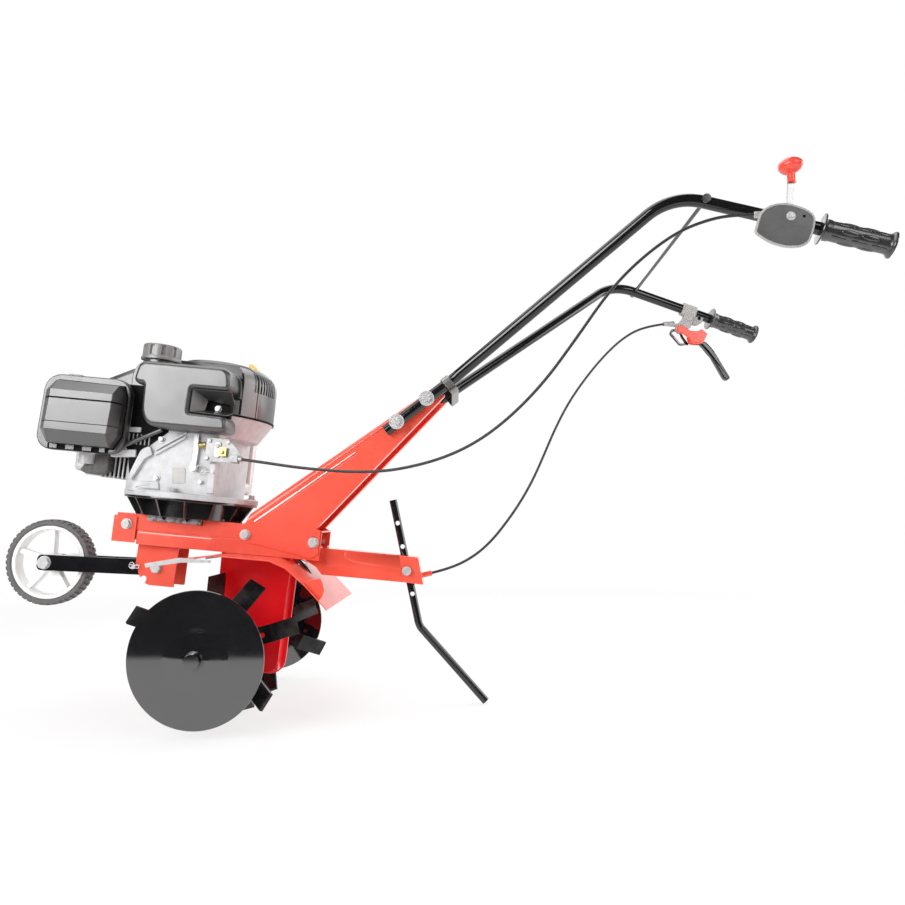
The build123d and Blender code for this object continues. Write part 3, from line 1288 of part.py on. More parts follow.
def carburettor():
    x, z = CARB_AT
    back = FIN_HALF_Y - HEAD_INSET
    body = block(x - 18, x + 18, -back - 32, -back - 8, z - 18, z + 18)
    duct = cross_rod(x, z, FILTER_BACK, -back, 13)
    bowl = upright(x, -back - 21, z - 36, z - 17, 14)
    return body + duct + bowl


def muffler():
    far = MUFFLER_NEAR + MUFFLER_DEEP
    box = block(MUFFLER_FRONT, MUFFLER_REAR, MUFFLER_NEAR, far, CYLINDER_Z - MUFFLER_DROP,
                CYLINDER_Z + MUFFLER_RISE)
    box = fillet(box.edges().filter_by(Axis.Z), MUFFLER_ROUND)
    return box + cross_rod(CARB_AT[0], CYLINDER_Z + MUFFLER_PORT_RISE, FIN_HALF_Y - HEAD_INSET,
                           MUFFLER_NEAR + MUFFLER_PORT_IN, MUFFLER_PORT_R)


def oil_filler():
    x, y = DIP_AT
    low = DIP_FOOT
    pipe = upright(x, y, low - DIP_TUBE_R, DIP_TUBE_TOP, DIP_TUBE_R)
    pipe += rod((x, CASE_HALF_Y, low), (x, y, low), DIP_TUBE_R)
    return pipe - upright(x, y, low, DIP_TUBE_TOP, DIP_TUBE_R - DIP_TUBE_WALL)


def dipstick():
    x, y = DIP_AT
    top = DIP_TUBE_TOP + DIP_CAP_HIGH
    stick = upright(x, y, DIP_STICK_LOW, DIP_TUBE_TOP + DIP_SINK, DIP_STICK_R)
    cap = upright(x, y, DIP_TUBE_TOP + DIP_CAP_GAP, top, DIP_TUBE_R + DIP_CAP_OVER)
    loop = block(x - DIP_LOOP_HALF, x + DIP_LOOP_HALF, y - DIP_LOOP_SIDE, y + DIP_LOOP_SIDE, top - DIP_SINK,
                 DIP_TUBE_TOP + DIP_LOOP_HIGH)
    loop = fillet(loop.edges().filter_by(Axis.Y), DIP_LOOP_ROUND)
    return stick + cap + loop


def control_plate():
    near = CONTROL_NEAR
    plate = side_plate([(-68, 304), (-68, 345), (-30, 345), (-8, 322), (-8, 304)], near, near + 2)
    for x, z in ((-60, 312), (-60, 338)):
        plate += cross_rod(x, z, near + 2, -CASE_HALF_Y + 0.0, 5)
    x, z = CABLE_CLAMP
    plate += block(x - 8, x + 6, near - 6, near, z - 6, z + 6)
    end = Vector(*THROTTLE_ROUTE[0])
    way = (Vector(*THROTTLE_ROUTE[1]) - end).normalized()
    plate += rod(end - way * 14, end, CABLE_R * 2)
    px, pz = CONTROL_PIVOT
    return plate + cross_rod(px, pz, near - 6, near, 3)


def control_lever():
    x, z = CONTROL_PIVOT
    high = CONTROL_NEAR - 0.3
    low = high - 2.5
    outline = [(x - 5, z + 8), (x - 5, z - 20), (x + 5, z - 20), (x + 5, z + 8)]
    lever = side_plate(outline, low, high, corner=4)
    return lever - cross_rod(x, z, low, high, 3 + RUN)


# Crankshaft and belt tension

def crankshaft():
    gap = CRANK_PIN_HALF
    shaft = upright(CRANK_X, 0, PULLEY_LOW - CRANK_TAIL, FLYWHEEL_HIGH + CRANK_NOSE, CRANK_R)
    shaft -= upright(CRANK_X, 0, CYLINDER_Z - gap, CYLINDER_Z + gap, CRANK_R + 1)
    for side in (-1, 1):
        low = CYLINDER_Z + (gap if side > 0 else -gap - CRANK_WEB)
        shaft += upright(CRANK_X, 0, low, low + CRANK_WEB, CRANK_WEB_R)
    return shaft + upright(CRANK_X - CRANK_THROW, 0, CYLINDER_Z - gap, CYLINDER_Z + gap, CRANK_R)


def flywheel():
    wheel = upright(CRANK_X, 0, FLYWHEEL_LOW, FLYWHEEL_HIGH, FLYWHEEL_R)
    wheel -= upright(CRANK_X, 0, FLYWHEEL_LOW, FLYWHEEL_HIGH - FLYWHEEL_PLATE, FLYWHEEL_R - FLYWHEEL_RIM)
    wheel += upright(CRANK_X, 0, FLYWHEEL_LOW, FLYWHEEL_HIGH, CRANK_R + FLYWHEEL_HUB)
    vane = block(FLYWHEEL_R - FAN_ROOT, FLYWHEEL_R - FAN_TIP, -FAN_THICK / 2, FAN_THICK / 2,
                 FLYWHEEL_HIGH - FAN_SINK, FLYWHEEL_HIGH + FAN_HEIGHT)
    for step in range(FAN_BLADES):
        wheel += Pos(CRANK_X, 0, 0) * Rot(0, 0, 360 * step / FAN_BLADES) * vane
    return wheel - upright(CRANK_X, 0, FLYWHEEL_LOW, FLYWHEEL_HIGH, CRANK_R + RUN)


def idler_arm():
    z = IDLER_ARM_LOW
    outline = make_hull((Pos(*IDLER_PIVOT) * Circle(9)).edges() + (Pos(*IDLER_AT) * Circle(8)).edges())
    arm = Pos(0, 0, z) * extrude(outline, IDLER_ARM_THICK)
    arm += upright(*IDLER_AT, z + IDLER_ARM_THICK, PULLEY_HIGH - 1, IDLER_PIN_R)
    return arm - upright(*IDLER_PIVOT, z, z + IDLER_ARM_THICK, IDLER_PIN_R + RUN)


def idler_roller():
    low, high = IDLER_ARM_LOW + IDLER_ARM_THICK + 1, PULLEY_HIGH - 1
    return upright(*IDLER_AT, low, high, IDLER_R) - upright(*IDLER_AT, low, high, IDLER_PIN_R + RUN)


# Cables

def cable(route, name):
    """Bowden cable along a hand-chosen route of straight runs and tangent arcs."""
    points = [Vector(*p) for p in route]
    radii = []
    for before, here, after in zip(points, points[1:], points[2:]):
        turn = (here - before).get_angle(after - here)
        shorter = min((here - before).length, (after - here).length)
        radii.append(0.45 * shorter / tan(radians(turn) / 2))
    path = FilletPolyline(*points, radius=radii)
    start = Plane(origin=points[0], z_dir=points[1] - points[0])
    tube = sweep(start * Circle(CABLE_R), path)
    print(name, "radii", [round(r) for r in radii], "length", round(path.length),
          "volume ratio", round(tube.volume / (3.14159265 * CABLE_R**2 * path.length), 4))
    return tube


def nodes():
    """Every node by name, in the chassis frame."""
    right_blades = tine_blades(1)
    left_blades = [left_of(piece) for piece in tine_blades(-1)]
    all_blades = right_blades + left_blades
    lowest = min((Rot(0, CHASSIS_PITCH, 0) * piece).bounding_box().min.Z for piece in all_blades)
    axle_height = -lowest
    case = gearcase_right()
    tube, sleeve, disc, arm = handle_tube(), grip(), guard_disc(), wheel_arm()
    parts = {
        "frame_rails": frame_rails(), "engine_deck": engine_deck(), "front_bracket": front_bracket(),
        "handle_column": handle_column(), "rear_arm": Compound([rear_arm(), stake_clamp()]),
        "wheel_bracket": wheel_bracket(), "tine_guard": tine_guard(), "frame_bolts": frame_bolts(),
        "gearcase": Compound([case, left_of(case)]), "bearings": bearings(), "worm_wheel": worm_wheel(),
        "worm_shaft": Compound([worm_shaft(), pulley(WORM_X, DRIVEN_PULLEY_R, WORM_SHAFT_R + RUN)]),
        "drive_belt": drive_belt(), "tine_shaft": tine_shaft(),
        "tine_hubs": Compound([tine_hub(1), left_of(tine_hub(-1))]),
        "tine_blades_right": Compound(right_blades), "tine_blades_left": Compound(left_blades),
        "guard_disc_right": disc, "guard_disc_left": left_of(disc), "rotor_pins": rotor_pins(),
        "wheel_arms": Compound([arm, left_of(arm)]), "wheel_rim": wheel_rim(), "wheel_tyre": wheel_tyre(),
        "wheel_pins": Compound([wheel_axle(), wheel_lock_pin()]),
        "depth_stake": depth_stake(axle_height), "stake_pin": stake_pin(),
        "handle_tube_right": tube, "handle_tube_left": left_of(tube), "brace_rod": brace_rod(),
        "tube_strap": tube_strap(), "grip_right": sleeve, "grip_left": left_of(sleeve),
        "throttle_case": throttle_case(), "throttle_lever": throttle_lever(),
        "throttle_knob": throttle_knob(), "clutch_clamp": clutch_clamp(), "clutch_lever": clutch_lever(),
        "clutch_bar": clutch_bar(), "clutch_latch": clutch_latch(),
        "base_ring": Compound([base_ring(), deck_pad()]),
        "crankcase": crankcase(), "cylinder": Compound([cylinder(), cylinder_head(), rocker_cover()]),
        "blower_housing": blower_housing(), "starter_cover": starter_cover(), "starter_grip": starter_grip(),
        "fuel_tank": fuel_tank(), "fuel_cap": fuel_cap(), "filter_cover": filter_cover(),
        "intake": Compound([filter_base(), carburettor()]), "muffler": muffler(), "oil_filler": oil_filler(),
        "dipstick": dipstick(), "control_plate": control_plate(), "control_lever": control_lever(),
        "crankshaft": Compound([crankshaft(), pulley(CRANK_X, DRIVE_PULLEY_R, CRANK_R + RUN)]),
        "flywheel": flywheel(), "idler_arm": idler_arm(), "idler_roller": idler_roller(),
        "throttle_cable": cable(THROTTLE_ROUTE, "throttle cable"),
        "clutch_cable": cable(CLUTCH_ROUTE, "clutch cable"),
    }
    return parts, axle_height


CORDS = ("throttle_cable", "clutch_cable")


def stance(parts, axle_height):
    """Placement of the chassis frame, leaned back on the ground with its box centred on the origin."""
    lean = Pos(0, 0, axle_height) * Rot(0, CHASSIS_PITCH, 0)
    boxes = [(lean * shape).bounding_box() for name, shape in parts.items() if name not in CORDS]
    low = min(box.min.X for box in boxes)
    high = max(box.max.X for box in boxes)
    return Pos(-(low + high) / 2, 0, 0) * lean


os.makedirs("parts", exist_ok=True)
PARTS, AXLE_HEIGHT = nodes()
STANCE = stance(PARTS, AXLE_HEIGHT)
print("nodes", len(PARTS), "axle height", round(AXLE_HEIGHT, 2), "shift", STANCE.position)
for node, shape in PARTS.items():
    export_step(STANCE * shape, f"parts/{node}.step")
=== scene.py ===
import json
from math import pi, radians

import bmesh
import bpy
from bpy.props import FloatProperty, FloatVectorProperty, PointerProperty
from mathutils import Matrix, Vector

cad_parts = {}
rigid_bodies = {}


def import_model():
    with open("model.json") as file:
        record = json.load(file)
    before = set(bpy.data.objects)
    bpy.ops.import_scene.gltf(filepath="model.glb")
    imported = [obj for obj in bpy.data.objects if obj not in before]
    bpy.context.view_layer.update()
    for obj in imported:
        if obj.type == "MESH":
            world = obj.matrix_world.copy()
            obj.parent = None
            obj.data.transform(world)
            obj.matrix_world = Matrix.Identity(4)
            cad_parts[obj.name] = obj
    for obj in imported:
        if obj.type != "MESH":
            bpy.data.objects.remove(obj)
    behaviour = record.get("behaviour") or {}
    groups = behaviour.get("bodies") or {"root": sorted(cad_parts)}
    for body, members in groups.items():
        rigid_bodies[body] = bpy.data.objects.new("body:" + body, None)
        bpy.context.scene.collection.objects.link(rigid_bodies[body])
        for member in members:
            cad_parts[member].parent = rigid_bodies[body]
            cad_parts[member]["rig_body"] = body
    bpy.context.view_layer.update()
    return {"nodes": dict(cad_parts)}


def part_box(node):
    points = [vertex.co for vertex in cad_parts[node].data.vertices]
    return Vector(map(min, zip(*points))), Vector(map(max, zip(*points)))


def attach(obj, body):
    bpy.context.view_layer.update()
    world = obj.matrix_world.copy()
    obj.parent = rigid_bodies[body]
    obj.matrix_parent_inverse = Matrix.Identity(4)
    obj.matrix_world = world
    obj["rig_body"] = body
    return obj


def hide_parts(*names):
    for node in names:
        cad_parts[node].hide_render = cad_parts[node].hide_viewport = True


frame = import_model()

bl_info = {
    "name": "Garden tiller",
    "version": (1, 0, 0),
    "blender": (4, 5, 0),
    "location": "View3D > Sidebar > Tiller",
    "description": "Dresses the packed garden tiller and sets it in a pale studio",
    "category": "Object",
}

# Pieces are shaped in millimetres in the chassis's own frame: X back, Y right, Z up, zero on the tine axle
SHAFT_LOW, SHAFT_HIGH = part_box("tine_shaft")
AXLE = (SHAFT_LOW + SHAFT_HIGH) / 2
CHASSIS_PITCH = radians(5.3)
MILLIMETRE = 0.001
CHASSIS = Matrix.Translation(AXLE) @ Matrix.Rotation(CHASSIS_PITCH, 4, "Y") @ Matrix.Scale(MILLIMETRE, 4)
AS_PACKED = Matrix.Identity(4)
FULL_TURN = 2 * pi
LEFT, RIGHT = (0, -1, 0), (0, 1, 0)
SIDES = ((1, "right"), (-1, "left"))

THROTTLE_ROUTE = [
    (-3, -113, 312), (37, -119, 310), (84, -124, 307), (134, -129, 306), (190, -135, 307),
    (244, -141, 313), (296, -147, 327), (344, -153, 346), (388, -160, 372), (428, -167, 406),
    (465, -174, 447), (496, -181, 489), (521, -188, 530), (545, -196, 571), (569, -204, 613),
    (597, -213, 654), (634, -223, 694), (676, -235, 728), (719, -248, 746), (753, -258, 752),
    (782, -265, 752)]
CLUTCH_ROUTE = [
    (332, 14, 144), (366, 24, 155), (405, 40, 178), (436, 56, 208), (463, 73, 246),
    (490, 92, 291), (513, 111, 339), (532, 130, 390), (552, 149, 447), (577, 167, 506),
    (610, 185, 564), (649, 204, 621), (691, 221, 670), (738, 236, 704), (784, 247, 717)]
# Cable lengths and their jacket in metres
THROTTLE_CABLE, CLUTCH_CABLE = 0.992, 0.796
CABLE_DIAMETER = 0.005

# Last straight of the right handle tube, with the grip on its end
TUBE_BEND, TUBE_END = Vector((663, 228, 790)), Vector((990, 272, 720))
TUBE_WAY = (TUBE_END - TUBE_BEND).normalized()
TUBE_RUN = (TUBE_END - TUBE_BEND).length
TUBE_CLAMP_R = 10.2
GRIP_LENGTH = 110.0
GRIP_PAST_END = 4.2
GRIP_FROM = TUBE_RUN - GRIP_LENGTH + GRIP_PAST_END

# Places that several pieces share
THROTTLE_PIVOT = (834, 751)
CLUTCH_PIVOT = (823, 709)
CLUTCH_Y = 251.5
CRANK = Matrix.Translation((-118.0, 0, 0))
CASE_FACE_Y = -98
COWL_FOOT_Z = 389
TANK_NECK = Matrix.Translation((-166, -103, 0))
WHEEL_PLACE = CHASSIS @ Matrix.Translation((-360.5, 0, 100.5)) @ Matrix.Rotation(pi / 2, 4, "X")

# Copies of CAD nodes: lengths in metres, angles in degrees
MERGE_DISTANCE = 2e-6
BOLT_ROUND = 0.0003
FLAT_ANGLE, EDGE_ANGLE, COPY_SHARP_ANGLE = 1.0, 32.0, 50.0

# Studio in metres and degrees, its sensor in millimetres: the camera's place from the tine axle
CAMERA_BACK, CAMERA_ABOVE = 0.387, 0.2004
CAMERA_RAISE, CAMERA_TURN = 5.44, 0.19
SENSOR_WIDTH = 36.0
# Floor: where its shadow fades out, how white it is before that, and where mirrors see it go dark
FLOOR_RADIUS = 14.0
SHADOW_NEAR, SHADOW_FAR, SHADOW_SHARE = 0.9, 3.0, 0.72
TABLE_EDGE_NEAR, TABLE_EDGE_FAR = -0.99, -0.93
DARK_ROOM = 0.03
PAPER = (0.90, 0.90, 0.90, 1)
# Surround: where along Y it starts and stops rising and its two levels, for light and in mirrors
ROOM_LIGHT = (-0.55, 0.2, 0.12, 0.60)
ROOM_GLEAM = (0.25, 0.9, DARK_ROOM, 0.90)
# Lamps: name, width and height, watts, place and the spot that it faces
LAMPS = (
    ("key", (1.7, 1.0), 38, (-1.45, -1.75, 1.08), (-0.45, 0, 0.50)),
    ("fill", (0.9, 1.2), 12, (1.5, -1.9, 1.6), (0.1, 0, 0.40)),
    ("side", (2.4, 1.6), 40, (2.2, 0.6, 1.0), (-0.3, 0, 0.45)),
    ("top", (2.8, 1.7), 32, (-0.4, 0.2, 2.3), (-0.3, 0.1, 0.3)),
    ("back", (1.6, 1.2), 8, (0.2, 2.0, 1.4), (0, 0, 0.4)))

# Where the ramps of a finish begin and end, its lowest roughness, and the depth of its grain in metres
MOTTLE_RAMP, GLOSS_RAMP = (0.3, 0.7), (0.25, 0.75)
CORNER_RAMP, PATCH_RAMP = (0.53, 0.62), (0.45, 0.65)
LEAST_ROUGHNESS = 0.02
GRAIN_DEPTH = 0.0006
# Finishes: a colour, or the name of one in TillerColours, and how the surface takes the light
FINISHES = {
    "red_enamel": dict(colour="red_enamel", roughness=0.40, coat=0.9, coat_roughness=0.06, ior=1.4,
                       mottle=0.04, wear_and_edge_light=(0.88, 0.24, 0.17), wear_and_edge_light_amount=0.25),
    # The gear case's deeper red is a shaded copy of the frame's red paint: painted shade
    "case_enamel": dict(colour="case_enamel", roughness=0.34, coat=0.5, coat_roughness=0.05, ior=1.3,
                        mottle=0.05, wear_and_edge_light=(0.85, 0.08, 0.06), wear_and_edge_light_amount=0.25),
    "fold_enamel": dict(colour="red_enamel", roughness=0.15, coat=1.0, coat_roughness=0.08, ior=2.2,
                        mottle=0.04, spread=0.03),
    "black_enamel": dict(colour="black_enamel", roughness=0.07, coat=1.0, coat_roughness=0.04, ior=2.0,
                         mottle=0.2, spread=0.03, wear_and_edge_light=(0.10, 0.10, 0.10), wear_and_edge_light_amount=0.2),
    "tube_enamel": dict(colour="black_enamel", roughness=0.11, ior=1.65, mottle=0.2, spread=0.04,
                        wear_and_edge_light=(0.10, 0.10, 0.10), wear_and_edge_light_amount=0.2),
    "tine_enamel": dict(colour="black_enamel", roughness=0.14, ior=1.35, mottle=0.15, spread=0.03,
                        wear_and_edge_light=(0.20, 0.19, 0.18), wear_and_edge_light_amount=0.3),
    "black_moulding": dict(colour="black_moulding", roughness=0.35, ior=2.1, mottle=0.08, spread=0.04),
    # Painted sheen: a grey lifted above the black plastic, for the fuel cap and the cowl's cheek
    "cap_moulding": dict(colour=(0.180, 0.173, 0.171), roughness=0.42, ior=2.0, mottle=0.10, spread=0.05),
    "gloss_moulding": dict(colour=(0.010, 0.010, 0.010), roughness=0.14, ior=2.3, mottle=0.2, mottle_scale=40,
                           grain_scale=500, grain=0.02),
    "shell_moulding": dict(colour=(0.034, 0.033, 0.033), roughness=0.36, ior=1.65, mottle=0.2,
                           mottle_scale=30, grain_scale=1300, grain=0.03),
    # Also painted shade in notches, grooves, holes, behind the louvres and round the barrel
    "deep_black": dict(colour=(0.006, 0.006, 0.006), roughness=0.6, ior=1.2, mottle=0.3, mottle_scale=60,
                       grain=0.05),
    # Also the throttle case's rim, where this grey is a painted highlight
    "grey_moulding": dict(colour=(0.44, 0.43, 0.42), roughness=0.55, ior=1.4, mottle=0.08),
    "red_moulding": dict(colour="red_moulding", roughness=0.26, coat=0.3, mottle=0.05),
    "white_moulding": dict(colour="white_moulding", roughness=0.42, mottle=0.03, grain_scale=1200,
                           grain=0.05),
    "yellow_moulding": dict(colour="yellow_moulding", roughness=0.35, mottle=0.05),
    "grip_rubber": dict(colour="rubber", roughness=0.25, ior=1.9, mottle=0.2, mottle_scale=60),
    "tyre_rubber": dict(colour="rubber", lift=4.0, roughness=0.55, mottle=0.15, mottle_scale=45,
                        grain_scale=1400, grain=0.2),
    # Painted sheen: grey lifted above black rubber, with a strong mottle for the glossy patches
    "pad_rubber": dict(colour=(0.240, 0.230, 0.232), roughness=0.28, ior=2.2, mottle=0.5, mottle_scale=120,
                       spread=0.12, grain_scale=260, grain=0.25),
    "cable_jacket": dict(colour="rubber", roughness=0.40, mottle=0.15, mottle_scale=80, grain_scale=1600,
                         grain=0.05),
    "zinc_plate": dict(colour="zinc", roughness=0.36, metallic=0.35, mottle=0.10, mottle_scale=120,
                       spread=0.1),
    "dull_zinc": dict(colour=(0.40, 0.40, 0.40), roughness=0.34, metallic=0.5, mottle=0.25, mottle_scale=120,
                      spread=0.1),
    "yellow_zinc": dict(colour=(0.75, 0.60, 0.26), roughness=0.30, metallic=1.0, mottle=0.22, mottle_scale=90,
                        grain_scale=1500, grain=0.05),
    "lever_steel": dict(colour=(0.42, 0.42, 0.42), roughness=0.30, metallic=0.8, mottle_scale=90),
    "turned_steel": dict(colour=(0.56, 0.56, 0.57), roughness=0.28, metallic=1.0, mottle=0.08,
                         grain_scale=1800, grain=0.05, stretch=(1, 1, 6)),
    "sheet_steel": dict(colour=(0.34, 0.33, 0.32), roughness=0.38, metallic=1.0, mottle=0.16, mottle_scale=60,
                        grain_scale=1100, grain=0.03),
    "bronze": dict(colour=(0.62, 0.40, 0.17), roughness=0.32, metallic=1.0, mottle=0.15, grain_scale=1500,
                   grain=0.05),
    "casting": dict(colour="casting", roughness=0.42, metallic=0.15, mottle=0.14, mottle_scale=60, spread=0.1,
                    grain=0.16),
    "dark_casting": dict(colour=(0.10, 0.095, 0.09), roughness=0.55, metallic=0.3, mottle=0.4,
                         mottle_scale=160, grain_scale=700, grain=0.3),
}


class TillerColours(bpy.types.PropertyGroup):
    """Colours of the paints, plastics and metals"""
    red_enamel: FloatVectorProperty(
        name="Red enamel", description="Paint of the frame and guard", subtype="COLOR", size=3, min=0, max=1,
        default=(0.90, 0.095, 0.052))
    # Shaded copy of the frame's red paint for the gear case: painted shade
    case_enamel: FloatVectorProperty(
        name="Case enamel", description="Deeper red of the gear case", subtype="COLOR", size=3, min=0, max=1,
        default=(0.84, 0.003, 0.010))
    black_enamel: FloatVectorProperty(
        name="Black enamel", description="Paint of the tubes, tines and discs", subtype="COLOR", size=3,
        min=0, max=1, default=(0.008, 0.008, 0.009))
    black_moulding: FloatVectorProperty(
        name="Black moulding", description="Plastic of the tank and covers", subtype="COLOR", size=3, min=0,
        max=1, default=(0.032, 0.031, 0.031))
    red_moulding: FloatVectorProperty(
        name="Red moulding", description="Plastic of the throttle knob and clutch lever", subtype="COLOR",
        size=3, min=0, max=1, default=(0.88, 0.085, 0.055))
    white_moulding: FloatVectorProperty(
        name="White moulding", description="Plastic of the wheel rim", subtype="COLOR", size=3, min=0, max=1,
        default=(0.82, 0.82, 0.81))
    yellow_moulding: FloatVectorProperty(
        name="Yellow moulding", description="Plastic of the oil dipstick", subtype="COLOR", size=3, min=0,
        max=1, default=(0.85, 0.60, 0.10))
    rubber: FloatVectorProperty(
        name="Rubber", description="Rubber of the grips, tyre and cables", subtype="COLOR", size=3, min=0,
        max=1, default=(0.030, 0.029, 0.029))
    zinc: FloatVectorProperty(
        name="Zinc plate", description="Plating of bolts, washers and pins", subtype="COLOR", size=3, min=0,
        max=1, default=(0.62, 0.62, 0.62))
    casting: FloatVectorProperty(
        name="Casting", description="Aluminium of the engine castings", subtype="COLOR", size=3, min=0, max=1,
        default=(0.57, 0.57, 0.58))


class TillerSizes(bpy.types.PropertyGroup):
    """Sizes of the edges and of the camera's view"""
    edge_round: FloatProperty(
        name="Edge round", description="Round on the edges of sheet and plate", unit="LENGTH", default=0.0006,
        min=0.0001, max=0.002, precision=4)
    camera_distance: FloatProperty(
        name="Camera distance", description="From the machine's middle plane to the lens", unit="LENGTH",
        default=1.400, min=0.5, max=5.0)
    lens: FloatProperty(
        name="Lens", description="Focal length on a 36 mm sensor", default=30.27, min=10, max=200)


def add_node(tree, kind, inputs=None, **settings):
    """One shader node with its settings, and its inputs linked or set."""
    made = tree.nodes.new(kind)
    for name, value in settings.items():
        setattr(made, name, value)
    for name, value in (inputs or {}).items():
        if isinstance(value, bpy.types.NodeSocket):
            tree.links.new(value, made.inputs[name])
        else:
            made.inputs[name].default_value = value
    return made


def work_out(tree, operation, first, second):
    """Result of an operation on two values."""
    return add_node(tree, "ShaderNodeMath", {0: first, 1: second}, operation=operation).outputs[0]


def rescale(tree, value, start, end, to_start, to_end, **settings):
    """A value, taken from one range to another."""
    ranges = {"Value": value, "From Min": start, "From Max": end, "To Min": to_start, "To Max": to_end}
    return add_node(tree, "ShaderNodeMapRange", ranges, **settings).outputs[0]


def blend(tree, factor, first, second):
    """The first value where the factor is 0, and the second where it is 1."""
    return add_node(tree, "ShaderNodeMix", {"Factor": factor, "A": first, "B": second}).outputs[0]


def ramp(tree, factor, positions, values):
    """Colour ramp over a factor, with a grey or a colour at each of its two positions."""
    made = add_node(tree, "ShaderNodeValToRGB", {"Fac": factor})
    for element, position, value in zip(made.color_ramp.elements, positions, values):
        element.position = position
        colour = (value, value, value) if isinstance(value, (int, float)) else tuple(value)
        element.color = (*colour, 1)
    return made.outputs["Color"]


def surface(name, colour, roughness, metallic=0.0, coat=0.0, coat_roughness=0.1, ior=1.5, mottle=0.12,
            mottle_scale=22.0, spread=0.08, grain_scale=900.0, grain=0.0, stretch=(1, 1, 1), wear_and_edge_light=None,
            wear_and_edge_light_amount=0.0, lift=1.0):
    """Finish with mottled colour, uneven gloss, and optional surface grain and a lighter tone on its corners,
    partly wear and partly painted highlight on the edges.
    """
    if isinstance(colour, str):
        colour = getattr(bpy.context.scene.tiller_colours, colour)
    made = bpy.data.materials.new(name)
    made.use_nodes = True
    tree = made.node_tree
    tree.nodes.clear()
    place = add_node(tree, "ShaderNodeTexCoord").outputs["Object"]
    drawn = add_node(tree, "ShaderNodeMapping", {"Vector": place, "Scale": stretch}).outputs["Vector"]
    clouds = {"Vector": drawn, "Scale": mottle_scale, "Detail": 5.0, "Roughness": 0.6}
    broad = add_node(tree, "ShaderNodeTexNoise", clouds).outputs["Fac"]
    dark = tuple(c * lift * (1 - mottle) for c in colour)
    light = tuple(min(1.0, c * lift * (1 + mottle)) for c in colour)
    tone = ramp(tree, broad, MOTTLE_RAMP, (dark, light))
    # Lighter tone on the corners: partly wear, partly a painted highlight along the edges
    if wear_and_edge_light:
        point = add_node(tree, "ShaderNodeNewGeometry").outputs["Pointiness"]
        corner = ramp(tree, point, CORNER_RAMP, (0.0, 1.0))
        patchy = ramp(tree, broad, PATCH_RAMP, (0.0, wear_and_edge_light_amount))
        tones = {"Factor": work_out(tree, "MULTIPLY", corner, patchy), "A": tone, "B": (*wear_and_edge_light, 1)}
        tone = add_node(tree, "ShaderNodeMix", tones, data_type="RGBA").outputs["Result"]
    smooth, rough = max(LEAST_ROUGHNESS, roughness - spread), roughness + spread
    gloss = ramp(tree, broad, GLOSS_RAMP, (smooth, rough))
    shader = add_node(tree, "ShaderNodeBsdfPrincipled", {
        "Base Color": tone, "Roughness": gloss, "Metallic": metallic, "IOR": ior, "Coat Weight": coat,
        "Coat Roughness": coat_roughness})
    if grain:
        fine = add_node(tree, "ShaderNodeTexNoise", {"Vector": drawn, "Scale": grain_scale, "Detail": 2.0})
        relief = {"Height": fine.outputs["Fac"], "Strength": grain, "Distance": GRAIN_DEPTH}
        bump = add_node(tree, "ShaderNodeBump", relief)
        tree.links.new(bump.outputs["Normal"], shader.inputs["Normal"])
    out = add_node(tree, "ShaderNodeOutputMaterial")
    tree.links.new(shader.outputs["BSDF"], out.inputs["Surface"])
    return made


def finish(name):
    """The finish that goes by this name, made at its first use."""
    return bpy.data.materials.get(name) or surface(name, **FINISHES[name])


def place_piece(bm, name, body, paint, replaces=(), matrix=CHASSIS, sharp=35.0, flats=True,
                second=None):
    """Turns a finished shape into a piece that rides on a body; flats keep their faces' own shading."""
    bmesh.ops.transform(bm, matrix=matrix, verts=bm.verts)
    mesh = bpy.data.meshes.new(name)
    bm.to_mesh(mesh)
    bm.free()
    mesh.shade_smooth()
    mesh.set_sharp_from_angle(angle=radians(sharp))
    mesh.materials.append(finish(paint))
    if second:
        mesh.materials.append(finish(second))
    piece = bpy.data.objects.new(name, mesh)
    bpy.context.scene.collection.objects.link(piece)
    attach(piece, body)
    if replaces:
        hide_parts(*replaces)
    if flats:
        piece.modifiers.new("normals", "WEIGHTED_NORMAL").keep_sharp = True
    return piece


def soften(node, paint, width=None, flats=True):
    """Merged copy of a CAD node with rounded edges and its finish, in the node's place."""
    width = width or bpy.context.scene.tiller_sizes.edge_round
    bm = bmesh.new()
    bm.from_mesh(frame["nodes"][node].data)
    bmesh.ops.remove_doubles(bm, verts=bm.verts, dist=MERGE_DISTANCE)
    bmesh.ops.dissolve_limit(bm, angle_limit=radians(FLAT_ANGLE), verts=bm.verts, edges=bm.edges)
    edges = [e for e in bm.edges if e.is_manifold and e.calc_face_angle(0) > radians(EDGE_ANGLE)]
    bmesh.ops.bevel(bm, geom=edges, offset=width, offset_type="OFFSET", affect="EDGES", segments=2,
                    profile=0.5, material=-1, clamp_overlap=False)
    body = frame["nodes"][node]["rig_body"]
    return place_piece(bm, node + "_soft", body, paint, (node,), AS_PACKED, COPY_SHARP_ANGLE, flats)


def repaint(node, paint):
    """Gives a CAD node that is shown as it is its finish."""
    mesh = frame["nodes"][node].data
    mesh.materials.clear()
    mesh.materials.append(finish(paint))


def facing(spot, way):
    """Placement that turns Z to a direction and sets the origin on a spot."""
    return Matrix.Translation(spot) @ Vector(way).to_track_quat("Z", "Y").to_matrix().to_4x4()


def turned_by(angle):
    """Turn about the crank's axis, in degrees."""
    return CRANK @ Matrix.Rotation(radians(angle), 4, "Z")


def moved(bm, matrix):
    """The shape in another place."""
    bmesh.ops.transform(bm, matrix=matrix, verts=bm.verts)
    return bm


def joined(first, *others):
    """One shape out of several finished ones."""
    for part in others:
        mesh = bpy.data.meshes.new("part")
        part.to_mesh(mesh)
        part.free()
        first.from_mesh(mesh)
        bpy.data.meshes.remove(mesh)
    return first


